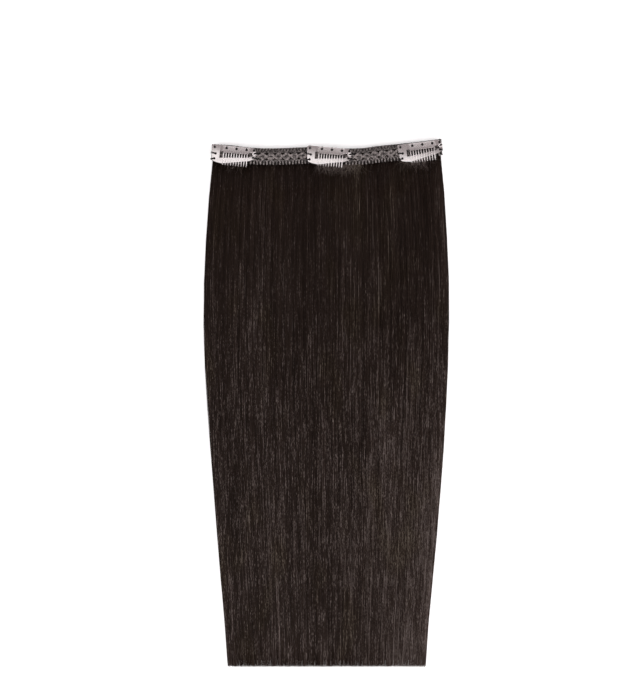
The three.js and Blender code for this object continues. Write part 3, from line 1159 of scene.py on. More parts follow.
@dataclass
class HairWeft:
    """The hair and its sewn head.

    Attributes:
        line: the band's line, along which the hair is sewn.
        spans: places along the band where each clip's row of teeth starts and ends.
        length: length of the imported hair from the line.
        overlong: how far the longest loose strands reach past it.
        head: thickness of the sewn head.
        loft: how much the hair rises past the head's thickness.
        margin: how far the head stays inside the band's edges.
        stitch: distance between the seams across the head.
        upper_count: strands in each of the four stretches on top.
        under_count: strands underneath.
        sections: points along a strand.
        locks: locks across the hair.
        pull: how far a strand drifts to the middle of its lock, as a share of the way.
        wander: sizes of a strand's waves, as shares of the half width, and their turns.
        strand_radius: smallest and largest radius of a strand.
        root: nearest and furthest starts of the strands from the line.
        short: usual and largest amounts by which a strand stops short.
        tone: mean tone of a strand.
        stray: stray hairs round the head.
        frayed: hairs in the tufts under the clips.
        stray_radius: radius of either.
        upward: share of the stray hairs that leaves the upper edge.
        upward_reach: shortest and longest reach of those hairs.
        downward_reach: shortest and longest reach of the rest.
        hump: lowest and highest arch of a stray hair.
        tufts: share of the frayed hairs that lies under each clip, and where they start and
            stop, as shares of its row of teeth.
        lock_seed: start of the random numbers of the locks.
        strand_seed: start of those of the strands, before the place of a stretch is added.
        stray_seed: start of those of the stray hairs.
        spread: share down the length to share of the half width.
        body: share down the length to share of the head's thickness.
        rise: share down the length to share of the loft.
    """

    line: BandLine
    spans: np.ndarray
    length: float = 369.0
    overlong: float = 2.2
    head: float = 3.2
    loft: float = 0.8
    margin: float = 1.1
    stitch: float = 1.6
    upper_count: int = 1500
    under_count: int = 900
    sections: int = 13
    locks: int = 190
    pull: float = 0.45
    wander: tuple[Pair, ...] = ((0.0042, 0.7), (0.0024, 1.5), (0.001, 2.6))
    strand_radius: Pair = (0.085, 0.14)
    root: Pair = (0.2, 3.4)
    short: Pair = (0.8, 2.2)
    tone: float = 0.33
    stray: int = 130
    frayed: int = 350
    stray_radius: float = 0.055
    upward: float = 0.22
    upward_reach: Pair = (1.5, 4.0)
    downward_reach: Pair = (3.0, 11.0)
    hump: Pair = (0.3, 1.4)
    tufts: tuple[tuple[float, float, float], ...] = (
        (0.06, 0.0, 1.0), (0.62, -0.15, 1.75), (0.32, -0.35, 0.85),
    )
    lock_seed: int = 7
    strand_seed: int = 57
    stray_seed: int = 12
    spread: Curve = Curve(
        (0, 0.035, 0.11, 0.25, 0.38, 0.52, 0.66, 0.8, 0.91, 1),
        (0.985, 1.0, 1.03, 1.062, 1.06, 1.03, 0.985, 0.935, 0.89, 0.86),
    )
    body: Curve = Curve(
        (0, 0.035, 0.11, 0.25, 0.38, 0.52, 0.66, 0.8, 0.91, 1),
        (0.72, 0.98, 1, 1, 0.97, 0.93, 0.87, 0.8, 0.72, 0.62),
    )
    rise: Curve = Curve(
        (0, 0.035, 0.11, 0.25, 0.38, 0.52, 0.66, 0.8, 0.91, 1),
        (0, 0.4, 1, 1, 0.97, 0.9, 0.8, 0.6, 0.4, 0.2),
    )

    def thickness(self, place: np.ndarray, down: np.ndarray) -> np.ndarray:
        """Thickness of the hair.

        It is the head's thickness times one share down the hair plus the loft times another,
        thinned towards both sides and gently lower between locks.

        Args:
            place: from -1 to 1 across the hair.
            down: share of the length.

        Returns:
            The thickness there.
        """
        full = self.head * self.body.read(down) + self.loft * self.rise.read(down)
        side = 1 - 0.4 * np.abs(place) ** 5 - 0.35 * np.clip(np.abs(place), 0, 1) ** 40
        locks = 1 - 0.035 * (1 + np.cos(2 * np.pi * 13 * place + 1.7 * np.sin(4 * place)))
        return full * side * locks

    def middle(self, place: np.ndarray, down: np.ndarray) -> np.ndarray:
        """Plan of the hair: the half width opens and closes down its length as the spread says,
        with a slight slow sway, and the length runs straight from the sewn line to the tips.

        Args:
            place: from -1 to 1 across the hair.
            down: share of the length.

        Returns:
            Points as two lengths.
        """
        half = self.line.length / 2
        sway = 1.8 * np.sin(6.9 * down + 9.4 * place) * down * (1 - down)
        root = self.line.level(place * half)
        x = place * self.spread.read(down) * half + sway
        return np.stack([x, root * (1 - down) - down * self.length], axis=-1)

    def packed(self) -> bpy.types.Object:
        """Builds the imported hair: rings round the section, carried from head to tips.

        The upper half of a ring follows four fifths of the thickness with fine ridges, each a
        sum of sines across the hair whose phase drifts down the length. The lower half is flat.

        Returns:
            The piece.
        """
        near, rest = np.linspace(0, 0.04, 4)[:-1], np.linspace(0.04, 0.9925, 84)
        down = np.concatenate([near, rest])[:, None]
        place = np.linspace(-0.988, 0.988, 300)[None, :]
        ridge = (
            0.10 * np.sin(230 * place + 2.2 * np.sin(9 * down + 31 * place))
            + 0.07 * np.sin(140 * place + 3.1 * np.sin(5 * down + 17 * place))
            + 0.05 * np.sin(370 * place + 1.3 * np.sin(14 * down + 53 * place))
        )
        plan = self.middle(place, down)
        upper = 0.8 * self.thickness(place, down) + ridge * np.clip(down * 12, 0.2, 1)
        lower = 0.02 + 0.06 * (1 + np.sin(260 * place + 3 * np.sin(6 * down + 20 * place)))
        top = np.concatenate([plan, upper[..., None]], axis=-1)
        base = np.concatenate([plan, lower[..., None]], axis=-1)
        rings = np.concatenate([base, top[:, ::-1]], axis=1)
        return closed_loft(rings).piece("hair_body", HairFinish().body(), crease=70)

    def sewn_head(self) -> Faces:
        """Builds the folded head under the lace: a rounded strip carried along the band's line.

        Its section is a cosine and a sine, each raised to a small power, so it is a box with
        rounded corners, and the section draws in a little at every seam.

        Returns:
            The strip.
        """
        sides, base, square = 24, 0.03, 0.35
        turn = 2 * np.pi * (np.arange(sides) + 0.5) / sides
        reach = self.line.width / 2 - self.margin
        half = self.line.length / 2 - self.margin
        across = reach * np.sign(np.cos(turn)) * np.abs(np.cos(turn)) ** square
        up = self.head / 2 * (1 + 0.985 * np.sign(np.sin(turn)) * np.abs(np.sin(turn)) ** square)
        along = np.linspace(-half, half, 240)
        thread = 1 - 0.03 * (1 + np.sin(2 * np.pi * along / self.stitch))[:, None]
        places = np.repeat(along[:, None], sides, axis=1)
        return closed_loft(
            self.line.lay(places, across[None] * thread, base + (up[None] - base) * thread)
        )

    def strands(self, side: Side, low: float, high: float, count: int) -> Faces:
        """Builds loose strands over one stretch of the hair's width.

        A strand starts under the lace, keeps its place across the hair apart from a slow wander
        and a pull towards the middle of its lock, and lies at its own depth in the thickness.
        Its tone is its own shade plus noise along its length, with a few stretches brightened as
        painted highlights.

        Args:
            side: the face of the hair that they lie on.
            low: place across the hair where the stretch starts.
            high: place where it ends.
            count: how many strands.

        Returns:
            Their tubes.
        """
        rng = np.random.default_rng(self.strand_seed + int(1000 * (low + 2)))
        share = np.linspace(0, 1, self.sections)[None, :]
        place = low + (high - low) * (np.arange(count) + rng.random(count)) / count
        lock = np.floor((place + 1) / 2 * self.locks)
        centre = (lock + 0.5) / self.locks * 2 - 1
        lock_rng = np.random.default_rng(self.lock_seed)
        lock_shade = lock_rng.normal(0, 0.05, self.locks + 2)[lock.astype(int)]
        pull = self.pull * rng.random(count)[:, None] * share
        wander = sum(
            rng.normal(0, size, count)[:, None]
            * (np.sin(2 * np.pi * (turns * share + rng.random(count)[:, None])))
            for size, turns in self.wander
        ) * np.clip(share * 4, 0, 1)
        where = np.clip(place[:, None] + (centre - place)[:, None] * pull + wander, -1.004, 1.004)
        stop = self.length + self.overlong - np.abs(rng.normal(0, self.short[0], count))
        stop -= self.short[1] * rng.random(count) ** 6
        start = rng.uniform(*self.root, count)
        down = (start[:, None] + (stop - start)[:, None] * share) / self.length
        plan = self.middle(where, down)
        full = self.thickness(where, down)
        depth = rng.random(count)[:, None]
        drift = 0.12 * np.sin(2 * np.pi * (1.3 * share + rng.random(count)[:, None]))
        if side is Side.UPPER:
            up = full * (1.0 - 0.24 * depth**1.5) + drift * np.clip(share * 6, 0, 1)
            up = np.where(down < 0.03, np.minimum(up, self.head + 0.1), up)
        else:
            up = 0.1 + 0.28 * depth + 0.5 * np.abs(drift)
        paths = np.concatenate([plan, up[..., None]], axis=-1)
        taper = np.clip((1 - share) * 14, 0.45, 1)
        radii = rng.uniform(*self.strand_radius, count)[:, None] * taper
        speck = rng.normal(0, 0.05, (count, self.sections))
        shade = self.tone + rng.normal(0, 0.07, count)[:, None] + lock_shade[:, None] + speck
        # Painted highlight: a few stretches of each strand are lifted towards the glint colour.
        lit = rng.random((count, self.sections)) < 0.035 + 0.05 * share
        shade = np.where(lit, shade + rng.uniform(0.12, 0.5, (count, self.sections)), shade)
        shade = shade + 0.03 * share
        shade[:, -1] += 0.6 * np.clip(rng.random(count) - 0.6, 0, 1)
        return tubes(paths, radii, 3, UP, np.clip(shade, 0, 1))

    def wisps(self) -> Faces:
        """Builds short stray hairs round the head: arcs that leave the band's lower or upper edge,
        lean to one side and curl down to the hair. Under each clip is a tuft of curlier ones,
        frayed by its teeth. All are painted lighter than the hair as a painted highlight, the tufts
        most, up to the glint colour.

        A hair's direction turns evenly along it, two sines swing it sideways, and half a sine
        lifts its middle.

        Returns:
            Their tubes.
        """
        rng = np.random.default_rng(self.stray_seed)
        share = np.linspace(0, 1, 16)[None, :]
        half = self.line.length / 2
        shares, first, last = np.array(self.tufts).T
        clip = rng.choice(len(self.spans), self.frayed, p=shares)
        (low, high), (first, last) = self.spans[clip].T, (first[clip], last[clip])
        spot = first + (last - first) * rng.beta(1.6, 1.6, self.frayed)
        strewn = rng.uniform(-half + 1, half - 1, self.stray)
        at = np.concatenate([strewn, low + (high - low) * spot])
        count = self.stray + self.frayed
        frayed = np.arange(count) >= self.stray
        upward = (rng.random(count) < self.upward) & ~frayed
        edge = np.where(upward, self.line.width / 2 - 0.8, -self.line.width / 2 + 0.8)
        up_reach, down_reach = (
            rng.uniform(*ends, count) for ends in (self.upward_reach, self.downward_reach)
        )
        reach = np.where(upward, up_reach, down_reach)
        lean = np.clip(rng.normal(0, 0.28, count) * np.where(frayed, 1.6, 1.0), -0.8, 0.8)
        curl = rng.normal(0, 0.1, count) * np.where(frayed, 2.5, 1.0)
        wave, crimp = (2 * np.pi * (n * share + rng.random(count)[:, None]) for n in (0.9, 2.6))
        swing = (0.6 * np.sin(wave) + np.where(frayed, 0.25, 0.08)[:, None] * np.sin(crimp)) * share
        root = self.line.lay(at, edge, np.full(count, 3.3))
        turn = lean[:, None] + curl[:, None] * share * 3
        run = reach[:, None] * share
        sign = np.where(upward, 1, -1)[:, None]
        x = np.clip(root[:, None, 0] + run * np.sin(turn) + swing, -half, half)
        y = root[:, None, 1] + sign * run * np.cos(turn)
        hump = rng.uniform(*self.hump, count)[:, None] * np.sin(np.pi * share)
        base = np.where(upward[:, None], 3.3 - 2.9 * share, 3.4 + 0.8 * share)
        paths = np.stack([x, y, base + hump], axis=-1)
        radii = np.broadcast_to(self.stray_radius * (1.15 - 0.6 * share), x.shape)
        # Painted highlight: the stray hairs get a lighter tone than the hair, and the frayed tufts
        # one near the glint colour.
        shade = np.clip(rng.normal(0.55, 0.16, count) + 0.45 * frayed, 0, 1)
        return tubes(paths, radii, 3, UP, np.broadcast_to(shade[:, None], x.shape))

    def build(self) -> None:
        """Builds the hair and sets its pieces on the weft."""
        finish = HairFinish()
        loose = finish.strands()
        body = self.packed()
        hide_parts("hair_weft")
        made = [body, self.sewn_head().piece("hair_head", finish.body())]
        bounds = np.linspace(-1, 1, 5)
        stretches = {
            f"hair_strands_{i + 1}": self.strands(Side.UPPER, low, high, self.upper_count)
            for i, (low, high) in enumerate(zip(bounds, bounds[1:]))
        }
        stretches["hair_strands_under"] = self.strands(Side.UNDER, -1, 1, self.under_count)
        stretches["hair_wisps"] = self.wisps()
        made += [faces.piece(name, loose, crease=180) for name, faces in stretches.items()]
        for piece in made:
            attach(piece, "weft")
            log.info("%s with %d faces", piece.name, len(piece.data.polygons))


# The clips


@dataclass(frozen=True)
class Stitch:
    """Threads of one sewn loop, side by side.

    Attributes:
        lanes: sideways places of the threads.
        radius: radius of a thread.
    """

    lanes: tuple[float, ...]
    radius: float


@dataclass
class SnapClip:
    """One sprung snap clip, drawn from its wide top corner.

    Lengths run along the clip's top edge, and depths run from that edge towards its teeth.

    Attributes:
        name: start of the names of its nodes.
        comb: the body of its comb.
        corner: place of its wide top corner.
        turn: its turn in plan.
        band_end: distance of the band's end from its middle.
        steel: material of its sprung plate.
        thread: material of its sewing thread.
        length: length of the plate.
        depth: depth of the plate.
        thickness: thickness of the steel.
        rim: width of its rounded rims.
        spacing: distance between the points on its faces.
        corner_radius: radius of the wide top corner.
        wide_pad: length of the wide pad.
        narrow_pad: length of the narrow pad with its waist.
        waist: length of the narrow pad's narrowest part.
        bar_depth: depth of the bar at its wide and narrow ends.
        shoulder: how much deeper the bar gets where it meets the narrow pad.
        arm_depth: depth of the arm at the wide and narrow ends.
        arm_end: depth of the arm's narrow sprung end.
        window: length of the window beside the wide pad.
        window_top: depth at which it starts.
        opening: length of the opening beside the narrow pad.
        tooth_pitch: distance between teeth.
        tooth_width: width of a tooth.
        tooth_tip: width of its tip.
        tip_length: length over which it narrows.
        tip_round: length of its rounded end.
        overhang: how far the teeth reach past the plate.
        comb_margin: how far the comb reaches past its last tooth.
        arm_stop: distance of the arm's narrow end from the clip's.
        hole_radius: radius of the plate's sewing holes.
        arm_hole_radius: radius of the arm's sewing holes.
        arm_hole_inset: depth of the arm's sewing holes.
        arm_hole_count: how many there are.
        ring_inset: distance of the eyelet ring's middle from the narrow end.
        ring_drop: depth of its middle as a share of the plate's depth.
        ring_radius: radius of its middle line.
        ring_section: half width and half height of its section.
        ring_bore: radius of the hole under it.
        seam: gap between the arm and the plate.
        crown: height of the plate's arch across its depth.
        bow: height of its arch along its length.
        coarse: threads of the loops at the ends of the clip.
        thin: threads of the loops over its top edge.
        over_edge: how far past the top edge they go down.
        rise: share of the depth to the comb's rise over the bar, in gaps.
        edge: outline of the narrow end and the lower edge, as shares of length and depth.
        plate_holes: middles of the plate's sewing holes, as shares of length and depth.
        made: the pieces so far.
    """

    name: str
    comb: str
    corner: np.ndarray
    turn: float
    band_end: float
    steel: bpy.types.Material
    thread: bpy.types.Material
    length: float = 32.5
    depth: float = 13.2
    thickness: float = 0.5
    rim: float = 0.08
    spacing: float = 0.6
    corner_radius: float = 1.2
    wide_pad: float = 6.2
    narrow_pad: float = 3.9
    waist: float = 2.5
    bar_depth: Pair = (4.1, 2.4)
    shoulder: float = 1.1
    arm_depth: Pair = (5.4, 4.8)
    arm_end: float = 3.8
    window: float = 2.4
    window_top: float = 4.2
    opening: float = 1.7
    tooth_pitch: float = 1.91
    tooth_width: float = 0.68
    tooth_tip: float = 0.44
    tip_length: float = 1.5
    tip_round: float = 0.25
    overhang: float = 1.1
    comb_margin: float = 0.45
    arm_stop: float = 2.9
    hole_radius: float = 0.8
    arm_hole_radius: float = 0.86
    arm_hole_inset: float = 1.85
    arm_hole_count: int = 3
    ring_inset: float = 1.5
    ring_drop: float = 0.3
    ring_radius: float = 0.95
    ring_section: Pair = (0.45, 0.34)
    ring_bore: float = 0.55
    seam: float = 0.3
    crown: float = 0.3
    bow: float = 0.2
    coarse: Stitch = Stitch(lanes=(-0.36, 0.0, 0.36), radius=0.2)
    thin: Stitch = Stitch(lanes=(-0.11, 0.11), radius=0.08)
    over_edge: float = 0.7
    rise: Curve = Curve(
        (0, 0.19, 0.34, 0.41, 0.48, 0.68, 0.87, 1.09),
        (0, 0.66, 1.19, 1.35, 1.34, 1.19, 1.03, 0.8),
    )
    edge: tuple[Pair, ...] = (
        (0.925, 0), (0.97, 0.08), (1, 0.28), (0.995, 0.48), (0.955, 0.62),
        (0.86, 0.73), (0.26, 1), (0.15, 0.965), (0.07, 0.915), (0.025, 0.82),
    )
    plate_holes: tuple[Pair, ...] = (
        (0.065, 0.14), (0.097, 0.49), (0.077, 0.765), (0.9435, 0.127), (0.935, 0.53),
    )
    made: list[bpy.types.Object] = field(default_factory=list)

    def span(self) -> Pair:
        """Places along the band where the clip's row of teeth starts and ends."""
        _, start, stop, _ = self.flex()
        return tuple(float(self.corner[0]) + x * math.cos(self.turn) for x in (start, stop))

    def teeth(self) -> np.ndarray:
        """Places as many teeth as fit between the window and the narrow opening.

        Returns:
            Lengths of their middles.
        """
        first = self.wide_pad + self.window + self.tooth_width / 2
        last = self.length - self.narrow_pad - self.opening - self.tooth_width / 2
        return first + self.tooth_pitch * np.arange(int((last - first) / self.tooth_pitch) + 1)

    def flex(self) -> tuple[float, float, float, float]:
        """Lengths at which the two sprung ends of the arm start and stop bending."""
        right = self.teeth()[-1] + self.tooth_width / 2 + self.comb_margin
        return self.wide_pad, self.wide_pad + self.window, right, self.length - self.arm_stop

    def arm_holes(self) -> list[Pair]:
        """Lengths and depths of the arm's sewing holes, evenly apart from pad to pad.

        Returns:
            The middles of the holes.
        """
        start, end = self.wide_pad + self.seam, self.length - self.narrow_pad - self.seam
        share = (np.arange(self.arm_hole_count) + 0.5) / self.arm_hole_count
        return [(float(x), self.arm_hole_inset) for x in start + (end - start) * share + 0.65]

    def ring_middle(self) -> Pair:
        """Length and depth of the eyelet ring's middle."""
        return self.length - self.ring_inset, self.ring_drop * self.depth

    def bar_top(self, along: float) -> float:
        """Depth of the bar's upper edge: the plate's lower edge less the bar's own depth.

        Args:
            along: length along the clip.

        Returns:
            The depth there.
        """
        (narrow, narrow_down), (wide, wide_down) = self.edge[5], self.edge[6]
        share = (along / self.length - wide) / (narrow - wide)
        lower = (wide_down + (narrow_down - wide_down) * share) * self.depth
        return lower - (self.bar_depth[0] + (self.bar_depth[1] - self.bar_depth[0]) * share)

    def bowed(self, along: np.ndarray, level: np.ndarray) -> np.ndarray:
        """Level of the plate's under face: an arch across its depth and a flatter one along it.

        Args:
            along: lengths along the clip.
            level: levels from the top edge, towards +Y.

        Returns:
            The levels over the clip's base.
        """
        across = 1 - ((-level - self.depth / 2) / (self.depth / 2)) ** 2
        lengthwise = 1 - ((along - self.length / 2) / (self.length / 2)) ** 2
        return self.crown * across + self.bow * lengthwise * np.clip(across + 1, 0, 1)

    def over_ring(self, along: np.ndarray, level: np.ndarray) -> np.ndarray:
        """Level under a thread that passes over the eyelet ring."""
        return self.bowed(along, level) + self.thickness

    def sprung(self, along: np.ndarray, level: np.ndarray) -> np.ndarray:
        """Level of the comb's under face.

        To the plate's bow it adds the comb's rise at that depth, which lifts the arm's lower edge
        clear of the bar, levels out along the teeth and drops at their tips. The rise fades to
        nothing over the sprung ends.

        Args:
            along: lengths along the clip.
            level: levels from the top edge, towards +Y.

        Returns:
            The levels over the clip's base.
        """
        a, b, c, d = self.flex()
        ease = np.clip(np.minimum((along - a) / (b - a), (d - along) / (d - c)), 0, 1)
        ease = ease**2 * (3 - 2 * ease)
        clear = self.thickness + self.seam
        return self.bowed(along, level) + ease * clear * self.rise.read(-level / self.depth)

    def circle(self, along: float, down: float, radius: float, sides: int = 18) -> np.ndarray:
        """Points of a circle in the clip's plane."""
        turn = 2 * np.pi * np.arange(sides) / sides
        return np.column_stack([along + radius * np.cos(turn), -down + radius * np.sin(turn)])

    def place(self, points: np.ndarray) -> np.ndarray:
        """Moves points from the clip's own plane to the frame: a turn and then a shift.

        Args:
            points: one row of three lengths for each point.

        Returns:
            The moved points.
        """
        cos, sin = math.cos(self.turn), math.sin(self.turn)
        x, y = points[:, 0], points[:, 1]
        return np.column_stack([x * cos - y * sin, x * sin + y * cos, points[:, 2]]) + self.corner

    def sheet(
        self, corners: Sequence[Pair], cuts: tuple[int, ...], holes: Sequence[np.ndarray]
    ) -> Sheet:
        """Cuts a plate from this clip's steel.

        Args:
            corners: length and depth of each corner, clockwise.
            cuts: numbers of the edges that stay square.
            holes: outlines of the holes.

        Returns:
            The plate.
        """
        outline = np.array([(x, -y) for x, y in corners])[::-1]
        count = len(outline)
        turned = tuple((count - 2 - i) % count for i in cuts)
        return Sheet(outline, turned, tuple(holes), self.thickness, self.rim, self.spacing)

    def plate(self) -> Faces:
        """Builds the fixed plate: wide pad, bar and narrow pad.

        Returns:
            The plate.
        """
        a, _, c, d = self.flex()
        radius = self.corner_radius
        arc = [
            (radius * (1 - math.cos(t)), radius * (1 - math.sin(t)))
            for t in (math.pi / 2 * i / 4 for i in range(5))
        ]
        waist = self.length - self.waist
        rim = [(x * self.length, y * self.depth) for x, y in self.edge]
        corners = [
            *arc,
            (a, 0),
            (a, self.window_top),
            (a, self.bar_top(a)),
            (c, self.bar_top(c)),
            (waist, self.bar_top(waist) - self.shoulder),
            (waist, self.arm_end),
            (d, self.arm_end),
            (d, 0),
            *rim,
        ]
        holes = [
            self.circle(x * self.length, y * self.depth, self.hole_radius)
            for x, y in self.plate_holes
        ]
        holes.append(self.circle(*self.ring_middle(), self.ring_bore))
        beside_arm = corners.index((a, 0)), corners.index((d, self.arm_end))
        return self.sheet(corners, beside_arm, holes).faces(self.bowed)

    def comb_plate(self) -> Faces:
        """Builds the arm and its teeth between the sprung ends.

        Returns:
            The comb.
        """
        _, b, c, _ = self.flex()
        teeth = self.teeth()
        reach = self.depth + self.overhang
        shoulder, half, tip = reach - self.tip_length, self.tooth_width / 2, self.tooth_tip / 2
        root = np.interp(teeth, [0, self.length], self.arm_depth)
        corners = [(c, 0.0), (c, self.arm_end), (teeth[-1] + half + 0.3, self.arm_depth[1] - 0.5)]
        for i, middle in reversed(list(enumerate(teeth))):
            corners += [
                (middle + half, float(root[i])),
                (middle + half, shoulder),
                (middle + tip, reach - self.tip_round),
                (middle, reach),
                (middle - tip, reach - self.tip_round),
                (middle - half, shoulder),
                (middle - half, float(root[i]) if i else self.window_top),
            ]
        corners.append((b, 0.0))
        holes = [self.circle(x, y, self.arm_hole_radius) for x, y in self.arm_holes()]
        return self.sheet(corners, (0, len(corners) - 2), holes).faces(self.sprung)

    def sprung_end(self, right: bool) -> Faces:
        """Builds one sprung end of the arm, between a pad and the comb.

        Args:
            right: whether it is the one beside the narrow pad.

        Returns:
            The piece of plate.
        """
        a, b, c, d = self.flex()
        start, stop, depth = (c, d, self.arm_end) if right else (a, b, self.window_top)
        corners = [(start, 0), (stop, 0), (stop, depth), (start, depth)]
        return self.sheet(corners, (1, 3), ()).faces(self.sprung)

    def ring(self) -> Faces:
        """Builds the eyelet ring: an oval section carried round a circle.

        Returns:
            The ring.
        """
        steps, sides = 36, 12
        turn = 2 * np.pi * np.arange(steps) / steps
        section = 2 * np.pi * (np.arange(sides) + 0.5) / sides
        (along, down), (half_width, half_height) = self.ring_middle(), self.ring_section
        reach = self.ring_radius + half_width * np.cos(section)[None, :]
        base = 0.38 + self.bow * 0.3 + self.thickness * 0.45
        up = base + half_height * np.sin(section)[None, :]
        x = along + reach * np.cos(turn)[:, None]
        y = -down + reach * np.sin(turn)[:, None]
        points = np.stack([x, y, np.broadcast_to(up, x.shape)], axis=-1).reshape(-1, 3)
        number = np.arange(steps * sides).reshape(steps, sides)
        right, above = np.roll(number, -1, axis=0), np.roll(number, -1, axis=1)
        both = np.roll(right, -1, axis=1)
        faces = np.stack([number, right, both, above], axis=-1).reshape(-1, 4)
        return Faces(points, [faces], points[:, :2] / MAP_SPAN)

    def stitches(
        self,
        holes: Sequence[tuple[float, float, float, float]],
        height: Height,
        stitch: Stitch,
    ) -> Faces:
        """Builds thread loops, each from a hole over the plate and down past its nearest edge.

        A loop's plan is a straight line, and its height is a sine raised to a small power, so it
        stands straight up through the hole, lies on the plate and goes straight down.

        Args:
            holes: length and depth of each hole, and those of the point past the edge.
            height: level of the plate's under face.
            stitch: the threads of one loop.

        Returns:
            The loops.
        """
        low = -1.0
        share = np.linspace(0, 1, 17)[None, :, None]
        starts, ends = [], []
        for x, y, far_x, far_y in holes:
            way = np.array([far_x - x, -(far_y - y)])
            side = np.array([-way[1], way[0]]) / np.linalg.norm(way)
            for lane in stitch.lanes:
                starts.append(np.array([x, -y]) + side * lane * 0.8)
                ends.append(np.array([x, -y]) + way * (1.05 - 0.1 * abs(lane)) + side * lane * 1.4)
        start, end = np.array(starts)[:, None, :], np.array(ends)[:, None, :]
        plan = start + (end - start) * share
        rise = np.sin(np.pi * np.clip(share, 0.0, 1.0))[..., 0] ** 0.35
        level = height(plan[..., 0], plan[..., 1])
        up = low + (level + self.thickness + stitch.radius - low) * rise
        paths = np.concatenate([plan, up[..., None]], axis=-1)
        way = end - start
        reference = np.concatenate([-way[..., 1:], way[..., :1], 0 * way[..., :1]], axis=-1)
        return tubes(paths, np.full(paths.shape[:2], stitch.radius), 6, reference)

    def knots(self, holes: Sequence[Pair], height: Height, radius: float) -> Faces:
        """Builds the turns of thread that fill the holes: one flat coil in each.

        Args:
            holes: length and depth of each hole.
            height: level of the plate's under face.
            radius: radius of the holes.

        Returns:
            The coils.
        """
        turn = np.linspace(0, 2.2 * np.pi, 12)[None, :]
        along, down = (np.array(holes)[:, i, None] for i in range(2))
        x, y = along + 0.5 * radius * np.cos(turn), -down + 0.5 * radius * np.sin(turn)
        up = height(x, y) + self.thickness * 0.45 + 0.012 * turn
        paths = np.stack([x, y, up], axis=-1)
        return tubes(paths, np.full(x.shape, 0.48 * radius), 6, UP)

    def pad_threads(self) -> Faces:
        """Builds the threads of both pads: coarse loops past the ends of the clip and over the
        eyelet ring, thin ones over the top edge, and a knot in each hole.

        Returns:
            The threads.
        """
        room = (self.band_end - self.corner[0]) / math.cos(self.turn) - 0.35
        holes = [(x * self.length, y * self.depth) for x, y in self.plate_holes]
        wide_top, wide_middle, wide_low, narrow_top, narrow_low = holes
        ring = self.ring_middle()
        sideways = [
            (*wide_middle, -0.25, wide_middle[1] - 0.5),
            (*wide_low, -0.1, wide_low[1] + 0.6),
            (*narrow_low, min(narrow_low[0] + 2.9, room), narrow_low[1] + 0.3),
        ]
        upwards = [
            (*wide_top, wide_top[0] - 0.2, -self.over_edge),
            (*narrow_top, narrow_top[0] + 0.5, -self.over_edge),
        ]
        past_ring = [(*ring, min(ring[0] + 3.3, room), ring[1] - 0.4)]
        return Faces.joined([
            self.stitches(sideways, self.bowed, self.coarse),
            self.stitches(upwards, self.bowed, self.thin),
            self.stitches(past_ring, self.over_ring, self.coarse),
            self.knots(holes, self.bowed, self.hole_radius),
        ])

    def arm_threads(self) -> Faces:
        """Builds the arm's threads: a thin loop over the top edge and a knot for each hole.

        Returns:
            The threads.
        """
        holes = self.arm_holes()
        upwards = [(x, y, x, -self.over_edge) for x, y in holes]
        over = self.stitches(upwards, self.sprung, self.thin)
        return Faces.joined([over, self.knots(holes, self.sprung, self.arm_hole_radius)])

    def add(
        self, name: str, faces: Faces, material: bpy.types.Material, slot: str
    ) -> bpy.types.Object:
        """Places one piece of the clip.

        Args:
            name: what follows the clip's name.
            faces: its mesh, in the clip's own plane.
            material: its material.
            slot: not used.

        Returns:
            The piece.
        """
        faces.points = self.place(faces.points)
        piece = faces.piece(f"{self.name}_{name}", material, crease=30)
        self.made.append(piece)
        return piece

    def point(self, along: float, down: float) -> Point:
        """A point of the clip's plane in the frame, in metres."""
        return tuple(self.place(np.array([[along, -down, 0.0]]))[0] * METRES)

    def build(self) -> None:
        """Builds the clip and sets its plate, eyelet ring, comb and pad stitches on their bodies.
        """
        a, b, c, d = self.flex()
        plate = self.add("plate_steel", self.plate(), self.steel, "clip_plate")
        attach(plate, "weft")
        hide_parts(f"{self.name}_plate")
        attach(self.add("eyelet_ring", self.ring(), self.steel, "clip_plate"), "weft")
        comb = self.add("comb_steel", self.comb_plate(), self.steel, "clip_comb")
        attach(comb, self.comb)
        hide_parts(f"{self.name}_comb")
        left = self.add("sprung_end_wide", self.sprung_end(False), self.steel, "clip_comb")
        self.point(a, 0)
        self.point(b, 0)
        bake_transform(left)
        right = self.add("sprung_end_narrow", self.sprung_end(True), self.steel, "clip_comb")
        self.point(c, 0)
        self.point(d, 0)
        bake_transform(right)
        pads, arm = self.pad_threads(), self.arm_threads()
        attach(self.add("pad_stitches", pads, self.thread, "lace"), "weft")
        threads = self.add("arm_stitches", arm, self.thread, "lace")
        middle = self.length / 2
        self.point(middle, -0.45)
        self.point(middle, 0.15)
        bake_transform(threads)
        log.info("%s with %d pieces", self.name, len(self.made))


# Studio


@dataclass(frozen=True)
class SoftLight:
    """A rectangular soft light.

    Attributes:
        name: its name.
        place: its place, in metres.
        size: its width and height, in metres.
        power: its power in watts.
        aim: the point that it faces.
        turn: its turn about the upright, in degrees.
    """

    name: str
    place: Point
    size: Pair
    power: float
    aim: Point = (0.0, -0.15, 0.0)
    turn: float = 0.0

    def build(self) -> None:
        """Adds the light to the scene."""
        data = bpy.data.lights.new(self.name, "AREA")
        data.shape, data.energy = "RECTANGLE", self.power
        data.size, data.size_y = self.size
        made = bpy.data.objects.new(self.name, data)
        made.location = self.place
        facing = (Vector(self.aim) - Vector(self.place)).to_track_quat("-Z", "Y")
        upright = Quaternion(UP.tolist(), math.radians(self.turn))
        made.rotation_euler = (upright @ facing).to_euler()
        bpy.context.scene.collection.objects.link(made)


